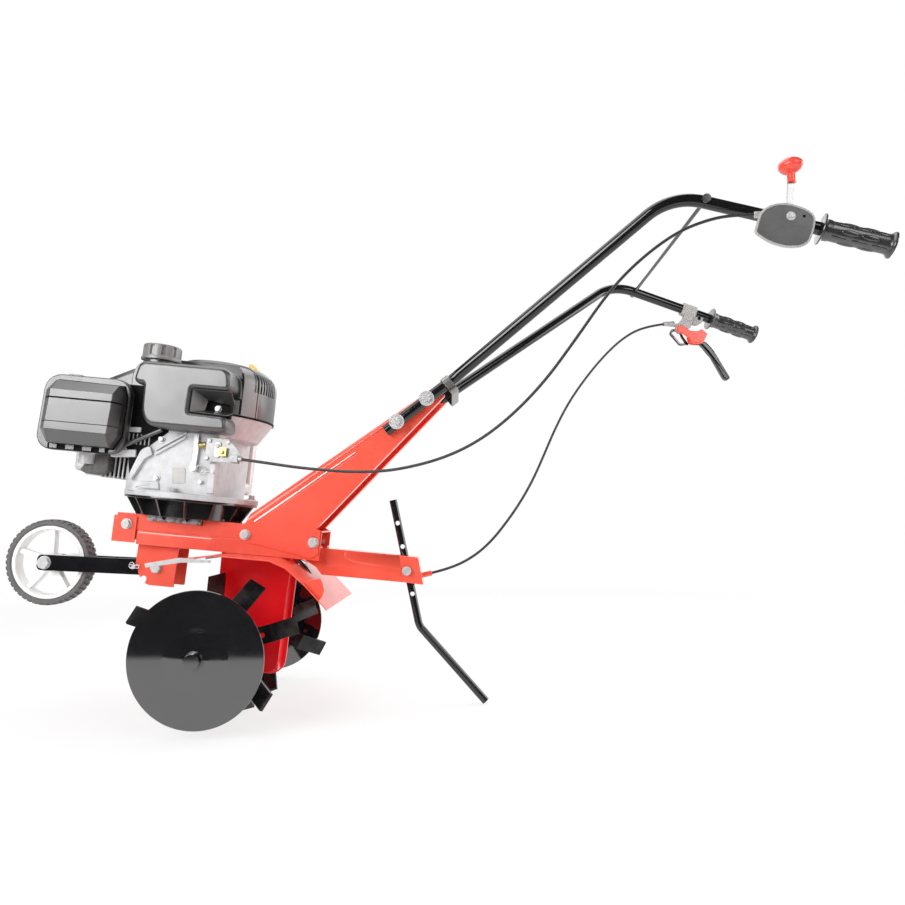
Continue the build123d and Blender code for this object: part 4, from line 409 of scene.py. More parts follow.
def oblong(left, right, low, high):
    """Corners of an upright rectangle in XZ."""
    return [(left, low), (right, low), (right, high), (left, high)]


def rounded_face(bm, corners, y, rounds, segments=5):
    """Face across Y with an outline in XZ, its corners rounded."""
    face = bm.faces.new([bm.verts.new((x, y, z)) for x, z in corners])
    for corner, size in zip(list(face.verts), rounds):
        if size:
            bmesh.ops.bevel(bm, geom=[corner], offset=size, offset_type="ABSOLUTE", affect="VERTICES",
                            segments=segments, profile=0.5, material=-1, clamp_overlap=False)
    return bm.faces[:][-1]


def slab(corners, y_near, y_far, rounds=0.0, bevel=0.0, segments=3, both=False):
    """Plate across Y with rounded corners and a soft near rim, or both rims soft."""
    bm = bmesh.new()
    if isinstance(rounds, (int, float)):
        rounds = [rounds] * len(corners)
    face = rounded_face(bm, corners, y_near, rounds)
    made = bmesh.ops.extrude_face_region(bm, geom=[face])["geom"]
    far = [v for v in made if isinstance(v, bmesh.types.BMVert)]
    bmesh.ops.translate(bm, verts=far, vec=(0, y_far - y_near, 0))
    bmesh.ops.recalc_face_normals(bm, faces=bm.faces)
    if bevel:
        levels = (y_near, y_far) if both else (y_near,)
        rim = [e for e in bm.edges for y in levels if all(abs(v.co.y - y) < 1e-4 for v in e.verts)]
        bmesh.ops.bevel(bm, geom=rim, offset=bevel, offset_type="OFFSET", affect="EDGES", segments=segments,
                        profile=0.5, material=-1, clamp_overlap=False)
    return bm


def lathe(profile, segments=48, angle=FULL_TURN):
    """Body turned about Z from (radius, height) points."""
    bm = bmesh.new()
    verts = [bm.verts.new((r, 0, h)) for r, h in profile]
    edges = [bm.edges.new(pair) for pair in zip(verts, verts[1:])]
    bmesh.ops.spin(bm, geom=verts + edges, cent=(0, 0, 0), axis=(0, 0, 1), angle=angle, steps=segments,
                   use_merge=angle == FULL_TURN)
    bmesh.ops.remove_doubles(bm, verts=bm.verts, dist=1e-5)
    bmesh.ops.recalc_face_normals(bm, faces=bm.faces)
    return bm


def cowl_sheet(profile, start, sweep, steps, thickness):
    """Curved sheet about the crank's axis, from one angle over a sweep in degrees."""
    bm = lathe(profile, steps, radians(sweep))
    bmesh.ops.solidify(bm, geom=bm.faces[:], thickness=thickness)
    return moved(bm, turned_by(start))


def ball(radii, segments=16, rings=10):
    """Ellipsoid with three half sizes."""
    bm = bmesh.new()
    bmesh.ops.create_uvsphere(bm, u_segments=segments, v_segments=rings, radius=1)
    bmesh.ops.scale(bm, vec=radii, verts=bm.verts)
    return bm


def round_bar(start, end, radius, segments=16):
    """Round bar from one point to another, with soft ends."""
    start, end = Vector(start), Vector(end)
    length = (end - start).length
    lip = radius * 0.3
    profile = [(0, 0), (radius - lip, 0), (radius, lip), (radius, length - lip), (radius - lip, length),
               (0, length)]
    return moved(lathe(profile, segments), facing(start, end - start))


def hoop(ring, wire, segments=24, round_steps=8):
    """Wire ring about Z."""
    bm = bmesh.new()
    bmesh.ops.create_circle(bm, segments=round_steps, radius=wire,
                            matrix=Matrix.Translation((ring, 0, 0)) @ Matrix.Rotation(pi / 2, 4, "X"))
    bmesh.ops.spin(bm, geom=bm.verts[:] + bm.edges[:], cent=(0, 0, 0), axis=(0, 0, 1), angle=FULL_TURN,
                   steps=segments, use_merge=True)
    bmesh.ops.recalc_face_normals(bm, faces=bm.faces)
    return bm


def hex_head(across, height, washer, washer_height):
    """Hex bolt head with a washer, standing on Z = 0."""
    bm = bmesh.new()
    root_three = 1.732
    corner = across / root_three
    made = bmesh.ops.create_cone(bm, cap_ends=True, segments=6, radius1=corner, radius2=corner, depth=height)
    bmesh.ops.translate(bm, verts=made["verts"], vec=(0, 0, washer_height + height / 2))
    top = [e for e in bm.edges if all(v.co.z > washer_height + height - 1e-4 for v in e.verts)]
    bmesh.ops.bevel(bm, geom=top, offset=height * 0.18, offset_type="OFFSET", affect="EDGES", segments=2,
                    profile=0.5, material=-1)
    plate = [(0, 0), (washer, 0), (washer, washer_height * 0.7), (washer - 0.4, washer_height),
             (0, washer_height)]
    return joined(bm, lathe(plate, 32))


def step_round(face, steps):
    """Which of the steps about Z a face of a turned body lies in."""
    centre = face.calc_center_median()
    turn = Vector((centre.x, centre.y)).angle_signed(Vector((1, 0))) + pi
    return int(turn / FULL_TURN * steps)


def on_tube(distance, side=1):
    """Point on the last straight of a handle tube, from its bend."""
    spot = TUBE_BEND + TUBE_WAY * distance
    return Vector((spot.x, side * spot.y, spot.z))


def tube_way(side=1):
    """Direction of the last straight of a handle tube."""
    return Vector((TUBE_WAY.x, side * TUBE_WAY.y, TUBE_WAY.z))


class TILLER_OT_stage(bpy.types.Operator):
    """Pale floor, soft lights and the camera"""
    bl_idname = "tiller.stage"
    bl_label = "Studio"

    def execute(self, context):
        scene = context.scene
        scene.view_settings.view_transform = "Standard"
        self.set_camera(scene)
        self.lay_floor(scene)
        self.light_world(scene)
        self.hang_lamps(scene)
        return {"FINISHED"}

    def set_camera(self, scene):
        """Camera low on the left side."""
        sizes = scene.tiller_sizes
        camera = bpy.data.cameras.new("camera")
        camera.lens = sizes.lens
        camera.sensor_width = SENSOR_WIDTH
        viewer = bpy.data.objects.new("camera", camera)
        viewer.location = (AXLE.x + CAMERA_BACK, -sizes.camera_distance, AXLE.z + CAMERA_ABOVE)
        viewer.rotation_euler = (radians(90 + CAMERA_RAISE), 0, radians(CAMERA_TURN))
        scene.collection.objects.link(viewer)
        scene.camera = viewer

    def lay_floor(self, scene):
        """Round floor of pale paper."""
        bm = bmesh.new()
        bmesh.ops.create_circle(bm, cap_ends=True, radius=FLOOR_RADIUS, segments=64)
        mesh = bpy.data.meshes.new("floor")
        bm.to_mesh(mesh)
        bm.free()
        floor = bpy.data.objects.new("floor", mesh)
        scene.collection.objects.link(floor)
        mesh.materials.append(self.floor_paint())

    def floor_paint(self):
        """Paper that looks white but for the machine's shadow; in mirrors a dark room lies before it."""
        paint = bpy.data.materials.new("floor_paper")
        paint.use_nodes = True
        tree = paint.node_tree
        tree.nodes.clear()
        rays = add_node(tree, "ShaderNodeLightPath").outputs
        mirrored = rays["Is Glossy Ray"]
        seen = work_out(tree, "MAXIMUM", rays["Is Camera Ray"], mirrored)
        seen = work_out(tree, "MAXIMUM", seen, rays["Is Transmission Ray"])
        place = add_node(tree, "ShaderNodeTexCoord").outputs["Object"]
        away = add_node(tree, "ShaderNodeVectorMath", {0: place}, operation="LENGTH").outputs["Value"]
        level = rescale(tree, away, SHADOW_NEAR, SHADOW_FAR, SHADOW_SHARE, 1.0,
                        interpolation_type="SMOOTHSTEP")
        share = work_out(tree, "MULTIPLY", seen, level)
        share = work_out(tree, "MAXIMUM", share, mirrored)
        depth = add_node(tree, "ShaderNodeSeparateXYZ", {"Vector": place}).outputs["Y"]
        table = rescale(tree, depth, TABLE_EDGE_NEAR, TABLE_EDGE_FAR, DARK_ROOM, 1.0)
        shine = blend(tree, mirrored, 1.0, table)
        paper = add_node(tree, "ShaderNodeBsdfDiffuse", {"Color": PAPER}).outputs[0]
        glow = add_node(tree, "ShaderNodeEmission", {"Strength": shine}).outputs[0]
        both = add_node(tree, "ShaderNodeMixShader", {0: share, 1: paper, 2: glow}).outputs[0]
        out = add_node(tree, "ShaderNodeOutputMaterial")
        tree.links.new(both, out.inputs["Surface"])
        return paint

    def light_world(self, scene):
        """White surround that is dimmer in front, for light, and dark there in mirrors."""
        world = bpy.data.worlds.new("studio")
        scene.world = world
        world.use_nodes = True
        tree = world.node_tree
        tree.nodes.clear()
        rays = add_node(tree, "ShaderNodeLightPath").outputs
        way = add_node(tree, "ShaderNodeTexCoord").outputs["Generated"]
        across = add_node(tree, "ShaderNodeSeparateXYZ", {"Vector": way}).outputs["Y"]
        room = rescale(tree, across, *ROOM_LIGHT)
        gleam = rescale(tree, across, *ROOM_GLEAM)
        room = blend(tree, rays["Is Glossy Ray"], room, gleam)
        plain = blend(tree, rays["Is Camera Ray"], room, 1.0)
        level = work_out(tree, "MINIMUM", plain, 1.0)
        sky = add_node(tree, "ShaderNodeBackground", {"Color": (1, 1, 1, 1), "Strength": level}).outputs[0]
        out = add_node(tree, "ShaderNodeOutputWorld")
        tree.links.new(sky, out.inputs["Surface"])

    def hang_lamps(self, scene):
        """Soft rectangular lamps."""
        for name, size, power, spot, aim in LAMPS:
            lamp = bpy.data.lights.new(name, "AREA")
            lamp.shape = "RECTANGLE"
            lamp.size, lamp.size_y = size
            lamp.energy = power
            holder = bpy.data.objects.new(name, lamp)
            holder.location = spot
            holder.rotation_euler = (Vector(aim) - Vector(spot)).to_track_quat("-Z", "Y").to_euler()
            scene.collection.objects.link(holder)


class TILLER_OT_cables(bpy.types.Operator):
    """Throttle and clutch cables along their routes"""
    bl_idname = "tiller.cables"
    bl_label = "Cables"

    def execute(self, context):
        for node, route, length in (("throttle_cable", THROTTLE_ROUTE, THROTTLE_CABLE),
                                    ("clutch_cable", CLUTCH_ROUTE, CLUTCH_CABLE)):
            curve = bpy.data.curves.new(node + "_line", "CURVE")
            curve.dimensions = "3D"
            curve.bevel_depth = CABLE_DIAMETER / 2
            curve.bevel_resolution = 4
            curve.resolution_u = 8
            curve.use_fill_caps = True
            line = curve.splines.new("NURBS")
            line.points.add(len(route) - 1)
            for point, spot in zip(line.points, route):
                point.co = (*(CHASSIS @ Vector(spot)), 1)
            line.order_u = 3
            line.use_endpoint_u = True
            piece = bpy.data.objects.new(node + "_line", curve)
            context.scene.collection.objects.link(piece)
            curve.materials.append(finish("cable_jacket"))
            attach(piece, "chassis")
            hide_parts(node)
        return {"FINISHED"}


class TILLER_OT_frame_parts(bpy.types.Operator):
    """Painted frame, handles, stake and bolts"""
    bl_idname = "tiller.frame_parts"
    bl_label = "Frame"

    def execute(self, context):
        for node in ("frame_rails", "engine_deck", "front_bracket", "handle_column", "rear_arm",
                     "tine_guard"):
            soften(node, "red_enamel")
        # Painted shade: the gear case takes the shaded copy of the frame's red
        soften("gearcase", "case_enamel")
        for node in ("handle_tube_right", "handle_tube_left", "brace_rod", "depth_stake", "wheel_arms"):
            soften(node, "tube_enamel")
        for node in ("frame_bolts", "stake_pin", "wheel_pins", "rotor_pins"):
            soften(node, "zinc_plate", BOLT_ROUND)
        soften("tube_strap", "sheet_steel")
        self.wheel_fork()
        self.folds()
        self.guard_trim()
        return {"FINISHED"}

    def wheel_fork(self):
        """Fork that holds the wheel arms, with a hook for the lock pin, and the pin's spring clip."""
        outline = [(-195, 150), (-122, 150), (-123, 78.5), (-168, 78.5), (-175.4, 81.6), (-172.6, 88),
                   (-174.5, 93.5), (-180, 94.5), (-184.7, 90.3), (-189.1, 98.5), (-191.1, 110), (-196, 114.5)]
        rounds = [1, 1, 2, 3, 1.5, 2, 2, 2, 1.5, 3, 2, 1]
        sheet = 3.0
        cheeks = [slab(outline, y, y + sheet, rounds, bevel=0.5, segments=2, both=True)
                  for y in (-28.5, 25.5)]
        bridge = slab(oblong(-195, -122, 150 - sheet, 150), -26, 26)
        place_piece(joined(*cheeks, bridge), "wheel_fork", "chassis", "red_enamel",
                    ("wheel_bracket",))
        large_loop = moved(hoop(5.2, 0.8), facing((-199, -36, 111), (0.2, 1, 0)))
        small_loop = moved(hoop(3.4, 0.7), facing((-189, -37, 110), (-0.3, 1, 0)))
        wire = round_bar((-204, -36, 112), (-184, -38, 112), 0.8, 8)
        place_piece(joined(large_loop, small_loop, wire), "lock_clip", "wheel_arm", "zinc_plate",
                    flats=False)

    def folds(self):
        """Rounded folds of the column and the rails."""
        bars = []
        for column_y, rail_y in ((-45.8, -46.7), (45.8, 46.7)):
            bars.append(round_bar((13, column_y, 206.5), (181, column_y, 347.7), 7.0, 48))
            bars.append(round_bar((-190, rail_y, 170.6), (-58, rail_y, 170.6), 3.0, 32))
        place_piece(joined(*bars), "sheet_folds", "chassis", "fold_enamel", flats=False)

    def guard_trim(self):
        """Edge strips of the guard, the tab on its rear slope and the rod behind the gear case."""
        edge = [(-131, 126.5), (-75, 140.8), (-24, 141.5), (-24, 137.5), (-70, 133.5), (-129, 119.8)]
        strips = [slab(edge, 149.2 * side, 151.2 * side, 0.5, bevel=0.3, segments=1, both=True)
                  for side in (-1, 1)]
        place_piece(joined(*strips), "guard_strips", "chassis", "zinc_plate")
        outline = [(124, 119.5), (155.4, 128.5), (164.5, 108.4), (161, 98), (157, 92), (129, 115)]
        tab = slab(outline, -141, -138, [3, 3, 4, 2, 1, 1], bevel=0.6, segments=2, both=True)
        place_piece(tab, "guard_tab", "chassis", "red_enamel")
        rod = joined(round_bar((90, -22, 148), (106, -24, 136), 3.6),
                     round_bar((105.5, -24, 136.5), (124, -24, 114), 3.6))
        place_piece(rod, "guard_rod", "chassis", "tube_enamel", flats=False)


class TILLER_OT_rotor(bpy.types.Operator):
    """Tine rotor with its hubs, blades and guard discs"""
    bl_idname = "tiller.rotor"
    bl_label = "Tine rotor"

    def execute(self, context):
        soften("tine_hubs", "black_enamel")
        for node in ("tine_blades_right", "tine_blades_left"):
            soften(node, "tine_enamel")
        for side, name in SIDES:
            self.disc(side, name)
        for node, paint in (("tine_shaft", "black_enamel"), ("worm_wheel", "bronze"),
                            ("worm_shaft", "turned_steel"), ("bearings", "turned_steel"),
                            ("drive_belt", "grip_rubber"), ("idler_arm", "sheet_steel"),
                            ("idler_roller", "turned_steel")):
            repaint(node, paint)
        return {"FINISHED"}

    def disc(self, side, name):
        """Pressed disc with a dished middle and a collar on the shaft."""
        bore = 14.3
        rim = [(102.4, 243), (103, 243.6), (103, 245.2), (102.2, 246)]
        dish = [(50, 246), (47, 246.3), (41, 247.5), (38, 247.8), (25, 248.3), (16.5, 249.7)]
        profile = [(bore, 246), (38, 245), (48, 243), *rim, *dish, (bore, 249.7), (bore, 246)]
        disc = moved(lathe(profile, 96), facing((0, 0, 0), (0, side, 0)))
        place_piece(disc, "disc_" + name, "tine_rotor", "black_enamel",
                    ("guard_disc_" + name,))


class TILLER_OT_wheel(bpy.types.Operator):
    """Transport wheel"""
    bl_idname = "tiller.wheel"
    bl_label = "Wheel"

    def execute(self, context):
        self.tyre()
        self.rim()
        return {"FINISHED"}

    def tyre(self):
        """Tyre with square lugs on its shoulders and tread."""
        steps, shoulder_r, middle_half = 132, 74.2, 4.5
        bm = lathe([(66.2, -12.5), (69, -14.4), (73.4, -14.4), (75.6, -12.0), (76.0, -5.0), (76.0, 5.0),
                    (75.6, 12.0), (73.4, 14.4), (69, 14.4), (66.2, 12.5), (66.2, -12.5)], steps)
        lugs = []
        for face in bm.faces:
            centre = face.calc_center_median()
            groove = 2 if abs(centre.z) < middle_half else 0
            if centre.xy.length > shoulder_r and step_round(face, steps) % 3 != groove:
                lugs.append(face)
        bmesh.ops.inset_region(bm, faces=lugs, thickness=0.25, depth=1.4, use_even_offset=True)
        place_piece(bm, "tyre", "wheel", "tyre_rubber", ("wheel_tyre",), WHEEL_PLACE, 30.0, False)

    def rim(self):
        """Moulded rim with a deep bead, five tapered spokes and a hub."""
        bead = lathe([(58.5, -11), (60, -13), (65.5, -13), (66, -11.5), (66, 11.5), (65.5, 13), (60, 13),
                      (58.5, 11), (58, 3), (58, -3), (58.5, -11)], 96)
        hub = lathe([(6.2, -19), (11, -19.3), (15, -18.5), (17, -15), (17, 15), (15, 18.5), (11, 19.3),
                     (6.2, 19), (6.2, -19)], 48)
        taper = [(14, -7), (60, -4.5), (60, 4.5), (14, 7)]
        spokes = []
        for step in range(5):
            turn = Matrix.Rotation(pi / 2, 4, "X") @ Matrix.Rotation(radians(72 * step + 20), 4, "Y")
            spokes.append(moved(slab(taper, -8, 8, bevel=1.5, segments=2, both=True), turn))
        place_piece(joined(bead, hub, *spokes), "rim", "wheel", "white_moulding",
                    ("wheel_rim",), WHEEL_PLACE, flats=False)


class TILLER_OT_controls(bpy.types.Operator):
    """Grips, throttle and clutch levers"""
    bl_idname = "tiller.controls"
    bl_label = "Controls"

    def execute(self, context):
        for side, name in SIDES:
            self.grip(side, name)
        self.throttle_case()
        self.throttle_knob()
        self.clutch_bracket()
        self.clutch_lever()
        self.latch_loop()
        soften("throttle_lever", "lever_steel", BOLT_ROUND)
        return {"FINISHED"}

    def grip(self, side, name):
        """Rubber grip with staggered leaf pads."""
        flange = [(10.3, 0), (20, 0), (23.4, 0.4), (24, 1.6), (23.6, 2.8), (20.5, 4.2)]
        barrel = [(17.6, 5.4), (16.6, 7.6), (16.4, 13), (15.6, 14.5), (15.3, 17), (15.3, 98), (15.8, 101)]
        end = [(17.4, 103.6), (19.6, 105), (20.4, 106.6), (20.2, 108.6), (18.6, 109.8), (0, GRIP_LENGTH)]
        pads = []
        for row in range(8):
            for height in ((27, 57, 87) if row % 2 else (42, 72)):
                turn = Matrix.Rotation(radians(45 * row + 12), 4, "Z")
                pads.append(moved(ball((2.0, 4.2, 13.5), 14), turn @ Matrix.Translation((15.0, 0, height))))
        matrix = CHASSIS @ facing(on_tube(GRIP_FROM, side), tube_way(side))
        place_piece(joined(lathe(flange + barrel + end, 64), *pads), "grip_" + name + "_rubber", "chassis",
                    "grip_rubber", ("grip_" + name,), matrix, 40.0, False)

    def throttle_case(self):
        """Throttle case with its clamp, cable ferrule, screw, and its hole drawn as a deep black disc:
        painted shade.
        """
        x, z = THROTTLE_PIVOT
        front, back = -277, -262
        outline = [(-54, -30), (-47, 3), (-29, 16.5), (-5, 20.5), (25, 13), (38, 3), (38.5, -14), (31, -40),
                   (18, -49), (-4, -52), (-30, -47), (-51, -35)]
        rounds = [2.4, 9, 9, 9, 7, 6, 8, 6, 6, 9, 9, 2.4]
        bm = slab([(x + a, z + b) for a, b in outline], front, back, rounds, bevel=2.2)
        face = max((f for f in bm.faces if f.normal.y < -0.99), key=lambda f: f.calc_area())
        bmesh.ops.inset_region(bm, faces=[face], thickness=1.2, depth=-0.5, use_even_offset=True)
        # Painted highlight: the rim round the face takes the light grey second finish
        for highlight_rim in (f for f in bm.faces if f is not face and f.calc_center_median().y < front + 1.8):
            highlight_rim.material_index = 1
        bmesh.ops.scale(bm, vec=(0.80, 1, 0.80), space=Matrix.Translation((-x + 8, 0, -z + 16)),
                        verts=[v for v in bm.verts if v.co.y > front + 7])
        clamp = lathe([(TUBE_CLAMP_R, -18), (13, -18), (14, -17), (14, 17), (13, 18), (TUBE_CLAMP_R, 18),
                       (TUBE_CLAMP_R, -18)], 40)
        joined(bm, moved(clamp, facing(on_tube(171, -1), tube_way(-1))))
        socket, before = Vector(THROTTLE_ROUTE[-1]), Vector(THROTTLE_ROUTE[-2])
        nose = lathe([(2.6, 0), (4.2, 0), (5, 1), (5, 14), (4.4, 16), (4.4, 28), (0, 28)], 24)
        place_piece(moved(nose, facing(socket, socket - before)), "throttle_ferrule", "chassis",
                    "zinc_plate")
        place_piece(bm, "throttle_shell", "chassis", "shell_moulding", ("throttle_case",),
                    second="grey_moulding")
        screw = lathe([(0, 0), (7.2, 0), (7.2, 0.8), (6.4, 1.3), (4.8, 1.4), (4.4, 2.8), (3.2, 3.3),
                       (1.4, 3.4), (1.2, 2.4), (0, 2.4)], 32)
        place_piece(moved(screw, facing((x, front + 0.6, z - 1), LEFT)), "throttle_screw", "chassis",
                    "zinc_plate")
        # Painted shade: the hole is a deep black disc with a dark ring
        hole = joined(lathe([(1.9, 0), (1.9, 0.25), (0, 0.25)], 20),
                      lathe([(2.5, 0), (2.5, 0.2), (1.9, 0.3), (1.9, 0)], 20))
        place_piece(moved(hole, facing((x + 20.3, front + 0.65, z + 0.7), LEFT)), "throttle_hole", "chassis",
                    "deep_black")

    def throttle_knob(self):
        """Mushroom knob with a groove under its rim, on a socket for the lever."""
        x, z = THROTTLE_PIVOT
        socket = [(0, -17), (6.8, -17), (6.8, -16), (6.5, -15.5), (6.7, -2.6), (8.4, -1.8)]
        under = [(13.4, 0.7), (16.8, 3.6), (17.4, 4.6), (16.9, 5.2), (18.2, 6.2), (18.8, 7.8)]
        dome = [(18.9, 10), (18.5, 12.2), (16.5, 15.75), (12.2, 19.1), (6.5, 21.2), (0, 22)]
        tilt = Matrix.Translation((x, -268.5, z + 73)) @ Matrix.Rotation(radians(-6), 4, "Y")
        place_piece(moved(lathe(socket + under + dome), tilt), "knob", "throttle",
                    "red_moulding", ("throttle_knob",), sharp=28.0, flats=False)

    def clutch_bracket(self):
        """Clutch clamp under the right tube, with its ears, cable socket and screw."""
        middle = CLUTCH_Y
        saddle = slab([(831, 762), (852, 761), (848, 737), (846, 729), (826, 731), (829, 748)],
                      middle - 10, middle + 10, [3, 3, 2, 3, 3, 2], bevel=1.6, segments=2, both=True)
        lug = slab([(850, 746), (856, 748), (873, 744), (870, 730), (858, 721), (844, 723)],
                   middle - 4, middle + 4, [1, 2, 3, 4, 4, 2], bevel=1.2, segments=2, both=True)
        ear = [(826, 734), (848, 733), (845, 716), (834, 705), (822, 701), (812, 707), (814, 719)]
        ears = [slab(ear, y, y + 3.1, [2, 2, 4, 5, 6, 5, 5], bevel=0.8, segments=2, both=True)
                for y in (middle - 7.7, middle + 4.6)]
        ring = lathe([(TUBE_CLAMP_R, -16), (13.4, -16), (14.6, -14.8), (14.6, 14.8), (13.4, 16),
                      (TUBE_CLAMP_R, 16), (TUBE_CLAMP_R, -16)], 40)
        end, before = Vector(CLUTCH_ROUTE[-1]), Vector(CLUTCH_ROUTE[-2])
        socket = lathe([(2.6, 0), (4.4, 0), (5, 1), (5, 9), (4.2, 10), (4.2, 26), (0, 26)], 24)
        shelf = slab(oblong(795, 816, 716, 721),
                     middle - 7, middle + 7, 1.5, bevel=0.8, segments=2, both=True)
        bracket = joined(saddle, lug, *ears, moved(ring, facing(on_tube(180), tube_way())),
                         moved(socket, facing(end, end - before)), shelf)
        place_piece(bracket, "clutch_bracket", "chassis", "grey_moulding", ("clutch_clamp",))
        screw = lathe([(0, 0), (3.4, 0), (3.4, 1.2), (2.6, 1.8), (1.4, 1.8), (1.2, 0.9), (0, 0.9)], 24)
        place_piece(moved(screw, facing((862, middle - 4, 737), LEFT)), "clutch_clamp_screw", "chassis",
                    "deep_black")

    def clutch_lever(self):
        """Red lever of two plates and a web about its pivot pin, with the black bar for the hand."""
        middle = CLUTCH_Y
        x, z = CLUTCH_PIVOT
        outline = [(811.5, 709), (817, 717.5), (830, 715), (840, 706), (860, 706.5), (867, 712.5),
                   (880.5, 702.5), (871, 679.5), (847, 678.5), (840, 689.5), (829, 697), (815, 700.5)]
        rounds = [4, 4, 5, 6, 5, 2, 2, 3, 5, 5, 5, 4]
        near = slab(outline, middle - 12.4, middle - 7.9, rounds, bevel=2.0, segments=4)
        far = slab(outline[3:10], middle + 4, middle + 6.8, rounds[3:10], bevel=0.7, segments=2, both=True)
        web = slab([(850, 681.4), (872, 681.4), (880, 698), (874, 701), (868, 690), (850, 688)],
                   middle - 8.4, middle + 5, [3, 3, 2, 2, 4, 2], bevel=0.6, segments=2, both=True)
        pin = lathe([(0, -12.9), (3.2, -12.9), (3.8, -12.3), (3.8, 11.8), (3.2, 12.4), (0, 12.4)], 24)
        lever = joined(near, far, web, moved(pin, facing((x, middle, z), RIGHT)))
        place_piece(lever, "clutch_fork", "clutch", "red_moulding", ("clutch_lever",))
        bar = slab([(864, 684), (876, 688.5), (893, 677.5), (939.5, 611), (930, 603), (922.5, 607),
                    (883, 667), (868, 676)], middle - 6.4, middle + 6.4, [2, 4, 14, 4, 4, 4, 14, 3],
                   bevel=4.6, segments=4, both=True)
        place_piece(bar, "clutch_handle", "clutch", "grip_rubber", ("clutch_bar",))

    def latch_loop(self):
        """Flat loop that latches the lever, with an eye on the pivot pin."""
        near, thickness, band = CLUTCH_Y + 7.6, 4, 5.6
        x, z = CLUTCH_PIVOT
        loop = bmesh.new()
        outline = [(806, 712), (801, 700), (826, 675), (847, 680), (833, 697), (826, 712)]
        face = rounded_face(loop, outline, near, [4, 4, 4, 4, 3, 4])
        bmesh.ops.inset_region(loop, faces=[face], thickness=band, use_even_offset=True, use_boundary=True)
        bmesh.ops.delete(loop, geom=[face], context="FACES")
        made = bmesh.ops.extrude_face_region(loop, geom=loop.faces[:])["geom"]
        far = [v for v in made if isinstance(v, bmesh.types.BMVert)]
        bmesh.ops.translate(loop, verts=far, vec=(0, thickness, 0))
        bmesh.ops.recalc_face_normals(loop, faces=loop.faces)
        rims = [e for e in loop.edges if e.calc_face_angle(0) > 1.2]
        bmesh.ops.bevel(loop, geom=rims, offset=1.0, affect="EDGES", segments=2, profile=0.5, material=-1)
        eye = lathe([(3.9, 0), (7, 0), (7, thickness), (3.9, thickness), (3.9, 0)], 28)
        joined(loop, moved(eye, facing((x, near, z), RIGHT)))
        place_piece(loop, "latch_loop", "latch", "gloss_moulding", ("clutch_latch",))


